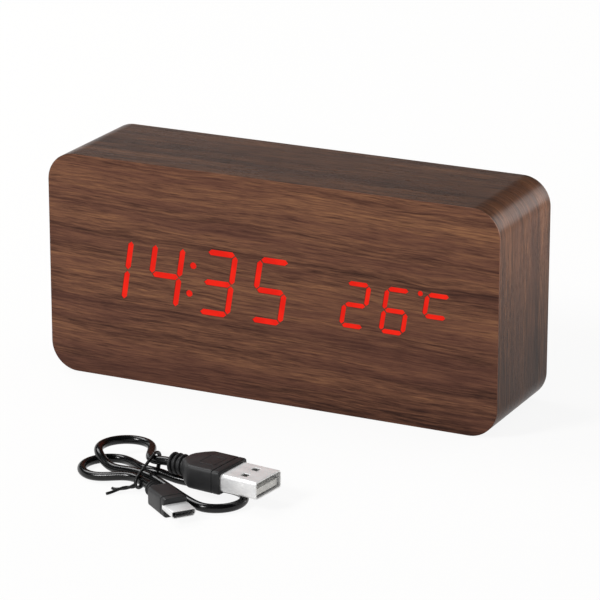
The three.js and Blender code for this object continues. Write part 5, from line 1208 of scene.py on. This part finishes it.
def make_button_marks(places):
    """Marks painted over the buttons: a ring for set, and a triangle each for up and down."""
    low, high = COVER_OUTER_Y - 0.05, COVER_OUTER_Y + 0.06
    above, half_width, bore = 6.4, 1.15, 0.75
    foot, tip = 0.9, 1.1
    ring, up, down = [(place.x, place.z + above) for place in places]
    marks = [plate([circle(half_width, *ring), circle(bore, *ring)], low, high, edges=(0, 0.08), rows=2)]
    for (x, z), way in ((up, 1), (down, -1)):
        triangle = [(x - half_width, z - foot * way), (x + half_width, z - foot * way), (x, z + tip * way)]
        marks.append(plate([triangle], low, high, edges=(0, 0.03), rows=2))
    piece("button_marks", joined(*marks), IN_CLOCK, "paint")


def make_battery_door():
    """The lid with its ribs, and the two tongues that hook behind the cover."""
    inner_y = COVER_INNER_Y + DOOR_STEP
    outline = rounded_rectangle(DOOR_WIDTH, 2 * DOOR_TOP, DOOR_CORNER, DOOR_X, steps=8)
    parts = [plate([outline], inner_y, COVER_OUTER_Y, edges=(0.2, 0.3))]
    tongue_back = COVER_INNER_Y - TONGUE_CLEARANCE
    tongue_front = tongue_back - TONGUE_THICKNESS
    root = TONGUE_ROOT - DOOR_TOP
    for x in TONGUE_PLACES:
        left, right = x - TONGUE_HALF_WIDTH, x + TONGUE_HALF_WIDTH
        parts.append(block((left, tongue_front, -DOOR_TOP - TONGUE_REACH), (right, tongue_back, root), 0.3))
        parts.append(block((left, tongue_back - 0.4, DOOR_GAP - DOOR_TOP), (right, inner_y + 0.3, root), 0.1))
    points = [(DOOR_X, COVER_OUTER_Y, DOOR_TOP - count * RIB_PITCH) for count in range(2, 6)]
    ribs = rib_recipe().made(points, length=16.0, width=0.8, height=0.4)
    piece("door_panel", joined(*parts), IN_CLOCK, "door", "battery_door", ["battery_door"])
    piece("door_ribs", ribs, IN_CLOCK, "door", "battery_door", ["battery_door"])


# A button's cap from its side to its middle, in pairs of radius and depth below its rim
CAP_PROFILE = (
    (3.5, 0.4), (3.46, 0.22), (3.36, 0.08), (3.2, 0.01), (3.05, 0),
    (2.7, 0.05), (2.0, 0.13), (1.2, 0.19), (0.5, 0.215), (0, 0.22),
)
STEM_RADIUS = 1.5
FLANGE_RADIUS = 4.5
FLANGE_THICKNESS = 1


def make_button(node):
    """A round cap with a shallow dish for the finger, on a flange and a stem."""
    low, high = box_of(node)
    flange_back = COVER_INNER_Y - 0.1
    flange_front = flange_back - FLANGE_THICKNESS
    front_edge, back_edge = 0.15, 0.12
    profile = [
        (0, low.y),
        (STEM_RADIUS - front_edge, low.y),
        (STEM_RADIUS, low.y + front_edge),
        (STEM_RADIUS, flange_front),
        (FLANGE_RADIUS - front_edge, flange_front),
        (FLANGE_RADIUS, flange_front + front_edge),
        (FLANGE_RADIUS, flange_back - back_edge),
        (FLANGE_RADIUS - back_edge, flange_back),
        (CAP_PROFILE[0][0], flange_back),
        *[(radius, high.y - depth) for radius, depth in CAP_PROFILE],
    ]
    place = IN_CLOCK @ Matrix.Translation(((low.x + high.x) / 2, 0, (low.z + high.z) / 2))
    piece(f"{node}_cap", turned(profile, sides=64), place, "button", node, [node])


def make_cover_screws():
    seat = COVER_OUTER_Y + 0.1
    places = [(middle_of(node).x, seat, middle_of(node).z) for node in SCREW_NODES]
    screws = screw_recipe().made(
        places, head_radius=2.6, head_height=1.1, crown=0.5, recess_width=0.75, recess_depth=0.7,
        recess_length=3.1, shank_radius=1.3, shank_length=11.6,
    )
    piece("cover_screws", screws, IN_CLOCK, "cover_screw", replaces=SCREW_NODES)


CAN_RADIUS = 4.9
JACKET_RADIUS = 5.15
JACKET_BORE = 4.98
NUB_RADIUS = 1.9
NUB_LENGTH = 0.9


def make_batteries():
    """Three cells: a shrink film jacket over a steel can, whose ends show."""
    half = (CELL_HIGH.x - CELL_LOW.x) / 2
    shoulder = half - NUB_LENGTH
    for number in (1, 2, 3):
        node = f"battery_{number}"
        can = turned([
            (0, -half + 0.25), (2.6, -half + 0.25), (2.9, -half), (3.9, -half), (4.5, -half + 0.3),
            (CAN_RADIUS, -half + 0.6), (CAN_RADIUS, shoulder - 0.5), (4.5, shoulder - 0.2), (3.6, shoulder),
            (3.0, shoulder), (2.0, shoulder), (NUB_RADIUS, shoulder + 0.2), (NUB_RADIUS, half - 0.15),
            (NUB_RADIUS - 0.15, half), (0, half),
        ])
        jacket = turned([
            (4.3, -half + 0.1), (4.9, -half + 0.12), (JACKET_RADIUS, -half + 0.5),
            (JACKET_RADIUS, shoulder - 0.5), (4.95, shoulder - 0.1), (4.4, shoulder),
            (4.4, shoulder - 0.12), (4.85, shoulder - 0.3), (JACKET_BORE, shoulder - 0.6),
            (JACKET_BORE, -half + 0.6), (4.3, -half + 0.3), (4.3, -half + 0.1),
        ])
        bmesh.ops.remove_doubles(jacket, verts=jacket.verts, dist=0.001)
        bmesh.ops.recalc_face_normals(jacket, faces=jacket.faces)
        way = -1 if number % 2 else 1
        place = IN_CLOCK @ Matrix.Translation(middle_of(node)) @ Matrix.Rotation(way * math.pi / 2, 4, "Z")
        piece(f"cell_{number}_can", can, place, "can", replaces=[node])
        piece(f"cell_{number}_jacket", jacket, place, "cell", replaces=[node])


def make_contacts():
    """Contact plates at the ends of the bay, three of them with a conical spring."""
    springs = spring_recipe()
    wire_radius = 0.3
    for node, side, cell in (
        ("battery_contact_negative", 1, "battery_1"),
        ("battery_contact_positive", 0, None),
        ("battery_bridge_left", 1, "battery_3"),
        ("battery_bridge_right", -1, "battery_2"),
    ):
        low, high = box_of(node)
        is_left = low.x < DOOR_X
        left = low.x if is_left else high.x - CONTACT_THICKNESS
        right = left + CONTACT_THICKNESS if is_left else high.x
        sheet = block((left, low.y, low.z), (right, high.y, high.z), 0.09)
        piece(f"{node}_plate", sheet, IN_CLOCK, "contact", replaces=[node])
        if not side:
            continue
        coil = springs.made(
            [(0, 0, 0)], coils=3.0, base_radius=3.2, tip_radius=1.6,
            length=high.x - low.x - CONTACT_THICKNESS - wire_radius, wire_radius=wire_radius,
        )
        middle = middle_of(cell)
        start = right if side > 0 else left
        turn = Matrix.Rotation(0 if side > 0 else math.pi, 4, "Z")
        place = IN_CLOCK @ Matrix.Translation((start, middle.y, middle.z)) @ turn
        piece(f"{node}_spring", coil, place, "contact", replaces=[node])


def make_usb_socket():
    case = softened("usb_socket_shell", 0.05)
    piece("usb_socket_case", case, Matrix(), "can", replaces=["usb_socket_shell"])


# The lead
CORD_RADIUS = 1.3
CORD_INSIDE_GRIP = 1.0
WAIST_Z = 2.6
UPPER_Z = 5.371
TOP_LOOP_Z = 4.6
LOOP_RADIUS = 7.8
LOOP_POINTS = 6
SAME_PLACE = 1e-4


def loop_points(x, y, start, end, height_at):
    """Points of a round loop, far enough out for the smooth route that they draw to have its radius."""
    step = math.radians((end - start) / LOOP_POINTS)
    radius = 3 * LOOP_RADIUS / (2 + math.cos(step))
    angles = [math.radians(start) + index * step for index in range(LOOP_POINTS + 1)]
    return [
        (x + radius * math.cos(angle), y + radius * math.sin(angle), height_at(index / LOOP_POINTS))
        for index, angle in enumerate(angles)
    ]


def behind_plug(place, turn, distances):
    x, y, z = place
    return [(x - back * math.cos(turn), y - back * math.sin(turn), z) for back in distances]


def on_surface(_):
    return CORD_RADIUS


def coming_down(share):
    """The first loop lies on the others and comes down over its last part."""
    lies_until = 0.82
    late = min(max((share - lies_until) / (1 - lies_until), 0), 1)
    return TOP_LOOP_Z + (CORD_RADIUS - TOP_LOOP_Z) * late * late * (3 - 2 * late)


def cord_places():
    return [
        *behind_plug(PLUG_A_PLACE, PLUG_A_TURN, (0.3, 1.6, 2.9)),
        (2.6, 3.6, UPPER_Z + 0.5),
        (-1, 5.8, UPPER_Z),
        *loop_points(-11, 10.8, 35, 265, coming_down),
        (-5, 0.7, WAIST_Z),
        (0, 0, WAIST_Z),
        (5, -1.4, WAIST_Z),
        *loop_points(26.5, -4.8, -115, 85, on_surface),
        (15, 3.2, CORD_RADIUS),
        (9.5, 3.2, CORD_RADIUS),
        (4.5, 3.2, WAIST_Z),
        (0.5, 3.2, WAIST_Z),
        (-3, 4.4, WAIST_Z),
        *loop_points(-12.2, 3, 76, 275, on_surface),
        (-4, -3.5, WAIST_Z),
        (0, -3.2, WAIST_Z),
        *behind_plug(PLUG_B_PLACE, PLUG_B_TURN, (2.9, 1.6, 0.3)),
    ]


def smooth_route(places, samples=8):
    """Points on the even cubic spline that the places draw, held at both ends."""
    held = [Vector(place) for place in [places[0]] * 2 + list(places) + [places[-1]] * 2]
    route = []
    for a, b, c, d in zip(held, held[1:], held[2:], held[3:]):
        for sample in range(samples):
            t = sample / samples
            ahead = a * (1 - t) ** 3 + b * (3 * t ** 3 - 6 * t ** 2 + 4)
            behind = c * (-3 * t ** 3 + 3 * t ** 2 + 3 * t + 1) + d * t ** 3
            route.append((ahead + behind) / 6)
    route.append(held[-1])
    onward = [after for before, after in zip(route, route[1:]) if (after - before).length > SAME_PLACE]
    return route[:1] + onward


def make_cord():
    """The cord, from inside the neck of one plug to inside the neck of the other, and its route."""
    start = behind_plug(PLUG_A_PLACE, PLUG_A_TURN, (-CORD_INSIDE_GRIP,))
    end = behind_plug(PLUG_B_PLACE, PLUG_B_TURN, (-CORD_INSIDE_GRIP,))
    route = [Vector(point) for point in start + smooth_route(cord_places()) + end]
    tube = swept(route, circle(CORD_RADIUS, sides=20))
    cord = piece("lead_cord", tube, IN_LEAD, "cord", "usb_lead", ["usb_cord"])
    return cord, [tuple(IN_LEAD @ point) for point in route]


def rounded_section(x, width, height, radius):
    """A rounded rectangle across a plug, at a place along it."""
    outline = rounded_rectangle(width, height, radius, steps=5)
    return [Vector((x, y, z)) for y, z in outline]


def make_grip(name, place, sections, neck_length, neck_radius, node):
    """The moulded grip of a plug: ringed neck, sloping shoulders, body, and a seat for its shell."""
    body = lofted([rounded_section(*section) for section in sections])
    pitch = neck_length / 3
    core = turned([
        (0, 0), (neck_radius * 0.62, 0), (neck_radius * 0.74, 0.15), (neck_radius * 0.8, neck_length * 0.5),
        (neck_radius * 0.84, neck_length + 0.3), (0, neck_length + 0.3),
    ])
    bmesh.ops.rotate(core, verts=core.verts, matrix=Matrix.Rotation(math.radians(-90), 3, "Z"))
    rings = ring_recipe().made(
        [((index + 0.26) * pitch, 0, 0) for index in range(3)],
        radius=neck_radius - 0.5, width=pitch * 0.56, height=0.5,
    )
    return piece(name, joined(body, core, rings), place, "grip", "usb_lead", [node])


# Sections of the grips: place along the plug, width, height and corner radius
PLUG_A_SECTIONS = (
    (4.8, 4.8, 4.8, 2.3), (5.05, 5.7, 5.7, 2.3), (5.5, 6.5, 6.5, 2.1), (6.2, 7.9, 6.9, 1.9),
    (8.0, 11.5, 7, 1.5), (9.5, 13.9, 7, 1.3), (10.1, 14.4, 7, 1.15), (11.0, 14.5, 7, 1.1),
    (17.9, 14.5, 7, 1.1), (18.05, 14.1, 6.6, 0.95), (18.35, 14.1, 6.6, 0.95), (18.5, 14.5, 7, 1.1),
    (20.0, 14.5, 7, 1.1), (20.35, 14.35, 6.85, 1.05), (20.5, 13.95, 6.45, 0.9),
    (20.5, 12.2, 4.7, 0.6), (18.9, 12.2, 4.7, 0.6),
)
PLUG_B_SECTIONS = (
    (3.4, 3.5, 3.5, 1.7), (3.6, 4.0, 4.0, 1.7), (3.9, 4.7, 4.7, 1.6), (4.4, 5.8, 5.3, 1.3),
    (5.0, 6.8, 5.55, 1.1), (5.4, 7.2, 5.6, 0.95), (13.6, 7.2, 5.6, 0.95), (13.75, 6.9, 5.3, 0.85),
    (14.05, 6.9, 5.3, 0.85), (14.2, 7.2, 5.6, 0.95), (15.8, 7.2, 5.6, 0.95), (16.1, 7.05, 5.45, 0.9),
    (16.2, 6.75, 5.15, 0.8), (16.2, 7.0, 2.0, 0.5), (15.1, 7.0, 2.0, 0.5),
)


def make_plug_a():
    """The USB-A plug: grip, folded shell with two latch windows, and a thin frame on the grip's flat side."""
    grip = make_grip(
        "plug_a_grip", IN_PLUG_A, PLUG_A_SECTIONS, neck_length=5, neck_radius=3.2, node="usb_a_grip",
    )
    frame_x = 13.6
    outer = rounded_rectangle(5.4, 6.4, 0.6, frame_x, steps=6)
    inner = rounded_rectangle(4.9, 5.9, 0.4, frame_x, steps=6)
    upright = Matrix.Rotation(math.radians(-90), 4, "X")
    outline = plate([outer, inner], -3.58, -3.4, edges=(0.05, 0), rows=2)
    mark = piece("plug_a_frame", outline, IN_PLUG_A @ upright, "grip", "usb_lead")
    shell = make_folded_shell(
        "plug_a_shell", IN_PLUG_A, rounded_rectangle(12, 4.5, 0.6, steps=5), start=19.0, end=32.5, wall=0.35,
        windows=[(26.5, -2.6, 1.1), (26.5, 2.6, 1.1)], replaces=["usb_a_shell"],
    )
    return [grip, mark, shell]


def make_plug_b():
    """The micro-USB plug: grip and its slim shell, narrower along its lower side."""
    grip = make_grip(
        "plug_b_grip", IN_PLUG_B, PLUG_B_SECTIONS, neck_length=3.6, neck_radius=2.3, node="micro_usb_grip",
    )
    half, level, chamfer = 3.425, 0.9, 0.6
    corners = [
        (0, -level), (half - chamfer, -level), (half - 0.1, chamfer - level - 0.06),
        (half, chamfer - level + 0.1), (half, level - 0.25), (half - 0.08, level - 0.08),
        (half - 0.25, level),
    ]
    outline = corners + [(-x, z) for x, z in reversed(corners[1:])]
    shell = make_folded_shell(
        "plug_b_shell", IN_PLUG_B, outline, start=15.2, end=21.7, wall=0.25, replaces=["micro_usb_shell"],
    )
    return [grip, shell]


def with_points_at(outline, places):
    """An outline with more points on its long level sides, at the places where windows begin and end."""
    dense = []
    for (y, z), (next_y, next_z) in zip(outline, outline[1:] + outline[:1]):
        dense.append((y, z))
        if abs(z - next_z) < 1e-6 and abs(next_y - y) > 1:
            between = [place for place in places if min(y, next_y) < place < max(y, next_y)]
            dense += [(place, z) for place in sorted(between, reverse=next_y < y)]
    return dense


def make_folded_shell(name, place, outline, start, end, wall, windows=(), replaces=()):
    """A tube of folded sheet along a plug, open at both ends. A window is its place along and across,
    and the half width of a square through both flat sides."""
    lip, flare = 0.4, 0.06
    dense = with_points_at(outline, sorted({y + way * half for _, y, half in windows for way in (-1, 1)}))
    window_ends = {x + way * half for x, _, half in windows for way in (-1, 1)}
    bm = bmesh.new()
    rings = []
    for x in sorted({start, end - lip, end, *window_ends}):
        ring = drawn_in(dense, flare) if x == end else dense
        rings.append([bm.verts.new((x, y, z)) for y, z in ring])
    for first, second in zip(rings, rings[1:]):
        add_band(bm, first, second)
    opened = [
        face for face in bm.faces for x, y, half in windows
        if max(abs(face.calc_center_median().x - x), abs(face.calc_center_median().y - y)) < half
    ]
    bmesh.ops.delete(bm, geom=opened, context="FACES")
    if rings[0][1].co.y > rings[0][0].co.y:
        bmesh.ops.reverse_faces(bm, faces=bm.faces)
    sheet = in_scene(name, mesh_from(name, bm))
    solid = sheet.modifiers.new("sheet", "SOLIDIFY")
    solid.thickness = wall
    solid.offset = -1
    solid.use_even_offset = True
    rim = sheet.modifiers.new("rim", "BEVEL")
    rim.width = 0.06
    rim.segments = 2
    rim.limit_method = "ANGLE"
    rim.angle_limit = math.radians(50)
    made = carried_out(sheet)
    bmesh.ops.recalc_face_normals(made, faces=made.faces)
    set_creases(made, 40)
    return piece(name, made, place, "shell", "usb_lead", replaces)


# The twist tie: the strands that its band goes round, and the routes of its two tails
TIE_X = 2.2
TIE_STRANDS = ((4.3, UPPER_Z + 0.4), (3.3, WAIST_Z), (-4.9, WAIST_Z))
TIE_HALF_WIDTH = 0.6
TIE_HALF_THICKNESS = 0.45
LONG_TAIL = (
    (TIE_X, -6.9, 2.3), (1.6, -7.8, 2), (0.4, -8.6, 1.2),
    (-1.8, -9.4, 0.9), (-3.4, -9.6, 0.6), (-4.4, -9.2, 0.6),
)
SHORT_TAIL = (
    (TIE_X, -6.9, 1.7), (1.2, -7.4, 1.1), (-0.4, -8.8, 1.6),
    (-2, -10.4, 1), (-3, -12, 0.6), (-3.8, -13.6, 0.6),
)


def make_tie():
    """A band drawn round the strands, and its two ends, left as tails."""
    beside = CORD_RADIUS + TIE_HALF_THICKNESS + 0.9
    above = CORD_RADIUS + TIE_HALF_THICKNESS + 0.2
    loop = []
    for out_y, out_z in circle(1, sides=72):
        y, z = max(TIE_STRANDS, key=lambda strand: strand[0] * out_y + strand[1] * out_z)
        loop.append((TIE_X, y + beside * out_y, z + above * out_z))
    section = [(TIE_HALF_THICKNESS * a, TIE_HALF_WIDTH * b) for a, b in circle(1, sides=14)]
    parts = [swept(loop, section, closed=True)]
    for tail in (LONG_TAIL, SHORT_TAIL):
        parts.append(swept(smooth_route(tail, samples=6), circle(0.43, sides=14)))
    return piece("tie_band", joined(*parts), IN_LEAD, "tie", "usb_lead", ["twist_tie"])


def make_lead():
    cord, route = make_cord()
    pieces = [*make_plug_a(), *make_plug_b(), make_tie()]
    tongues = [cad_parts[node] for node in ("usb_a_tongue", "micro_usb_tongue")]
    pieces + tongues


# Room, lamps and camera
def white_to_the_eye(finish, shader, seen_share, mirrored_share, white="ShaderNodeEmission"):
    """Shows a shader as plain white by one share to the camera and through clear things, and by another
    share in reflections."""
    path = finish.node("ShaderNodeLightPath", output="Is Camera Ray")
    seen = (path + path.other_output("Is Transmission Ray")) * seen_share
    share = finish.sum("MINIMUM", seen + path.other_output("Is Glossy Ray") * mirrored_share, 1.0)
    bright = finish.node(white, sockets={"Color": (1, 1, 1, 1), "Strength": 1.0})
    return finish.node("ShaderNodeMixShader", sockets={0: share, 1: shader, 2: bright})


def sheet_of_stage(name, material, size, height):
    """A square sheet round the object, which is part of the room."""
    bm = bmesh.new()
    bmesh.ops.create_grid(bm, x_segments=1, y_segments=1, size=size)
    mesh = mesh_from(name, bm)
    mesh.transform(Matrix.Translation((0, 0, height)))
    mesh.materials.append(material)
    sheet = in_scene(name, mesh)
    return sheet


def make_floor():
    finish = Finish("floor_paper")
    tooth = finish.noise(finish.place(), scale=0.4, detail=3.0)
    paper = finish.node("ShaderNodeBsdfDiffuse", sockets={
        "Color": finish.mix(tooth, tone(237, 235, 232), tone(240, 238, 236)), "Roughness": 0.5,
    })
    finish.node_out(white_to_the_eye(finish, paper, 0.9, 0.7))
    sheet_of_stage("floor", finish.material, 4, -0.1 * MM)


def make_ceiling():
    """The studio's dark ceiling, which shows only as the dark part of reflections."""
    finish = Finish("ceiling_cloth")
    nap = finish.noise(finish.place(), scale=0.02, detail=3.0)
    colour = finish.mix(nap, tone(30, 30, 31), tone(38, 38, 39))
    finish.node_out(finish.node("ShaderNodeBsdfDiffuse", sockets={"Color": colour}))
    ceiling = sheet_of_stage("ceiling", finish.material, 5.2, 1.4)
    ceiling.visible_camera = False
    ceiling.visible_diffuse = False
    ceiling.visible_transmission = False
    ceiling.visible_shadow = False


def make_air():
    """The world: an even pale fill, which is plain white where it is seen."""
    world = bpy.data.worlds.new("studio")
    bpy.context.scene.world = world
    air = Finish("studio", world)
    fill = air.node("ShaderNodeBackground", sockets={"Color": tone(241, 240, 239), "Strength": 0.44})
    air.node_out(white_to_the_eye(air, fill, 1.0, 1.0, "ShaderNodeBackground"))


# Each lamp's place and aim in metres, its spread in degrees, its size in metres and its power in watts
LAMPS = (
    ("key_lamp", (-0.7, -1.1, 1.0), (0, 0, 0.03), 180, 0.45, 15.4),
    ("top_lamp", (-0.7, 0.2, 0.95), (0, 0, 0.03), 180, 0.6, 6.2),
    ("side_lamp", (0.5, 0.06, 0.02), (0.075, 0, 0.067), 12, 0.08, 0.037),
    ("rim_lamp", (0.64, 1.35, 0.36), (0, 0, 0.03), 180, 0.72, 6.0),
)


def hang_lamps():
    for name, place, aim, spread, size, watts in LAMPS:
        light = bpy.data.lights.new(name, "AREA")
        light.shape = "DISK"
        light.size = size
        light.energy = watts
        light.spread = math.radians(spread)
        lamp = in_scene(name, light)
        lamp.location = place
        lamp.rotation_euler = (Vector(aim) - Vector(place)).to_track_quat("-Z", "Y").to_euler()
        lamp.visible_camera = False


FOCAL_PIXELS = 3408.4
PICTURE_PIXELS = 600


def set_camera():
    """The photograph's view, as the clock's corners and digits give it."""
    azimuth, elevation = math.radians(25.981), math.radians(18.113)
    distance, target = 1040.48 * MM, Vector((1.34, 0, 27.09)) * MM
    level = math.cos(elevation)
    back = Vector((math.sin(azimuth) * level, -math.cos(azimuth) * level, math.sin(elevation)))
    data = bpy.data.cameras.new("camera")
    data.sensor_fit = "HORIZONTAL"
    data.sensor_width = 36
    data.lens = FOCAL_PIXELS / PICTURE_PIXELS * data.sensor_width
    camera = in_scene("camera", data)
    camera.location = target + back * distance
    camera.rotation_euler = (-back).to_track_quat("-Z", "Y").to_euler()
    bpy.context.scene.camera = camera


def dress_nodes():
    """Gives the CAD nodes that keep their shape their finish."""
    for node, finish in NODE_FINISHES.items():
        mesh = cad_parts[node].data
        mesh.materials.clear()
        mesh.materials.append(FINISHES[finish])


def make_clock():
    make_front_veneer()
    make_wrap_veneer()
    make_lit_digits("time_digits", TIME_DIGITS, "time_light_guide")
    make_lit_digits("temperature_digits", TEMPERATURE_DIGITS, "temperature_light_guide")
    make_rear_cover()
    make_battery_door()
    for node in BUTTON_NODES:
        make_button(node)
    make_cover_screws()
    make_batteries()
    make_contacts()
    make_usb_socket()


def make_room():
    make_floor()
    make_ceiling()
    make_air()
    hang_lamps()
    bpy.context.scene.view_settings.view_transform = "Standard"


set_camera()
make_lead()
dress_nodes()
make_clock()
make_room()
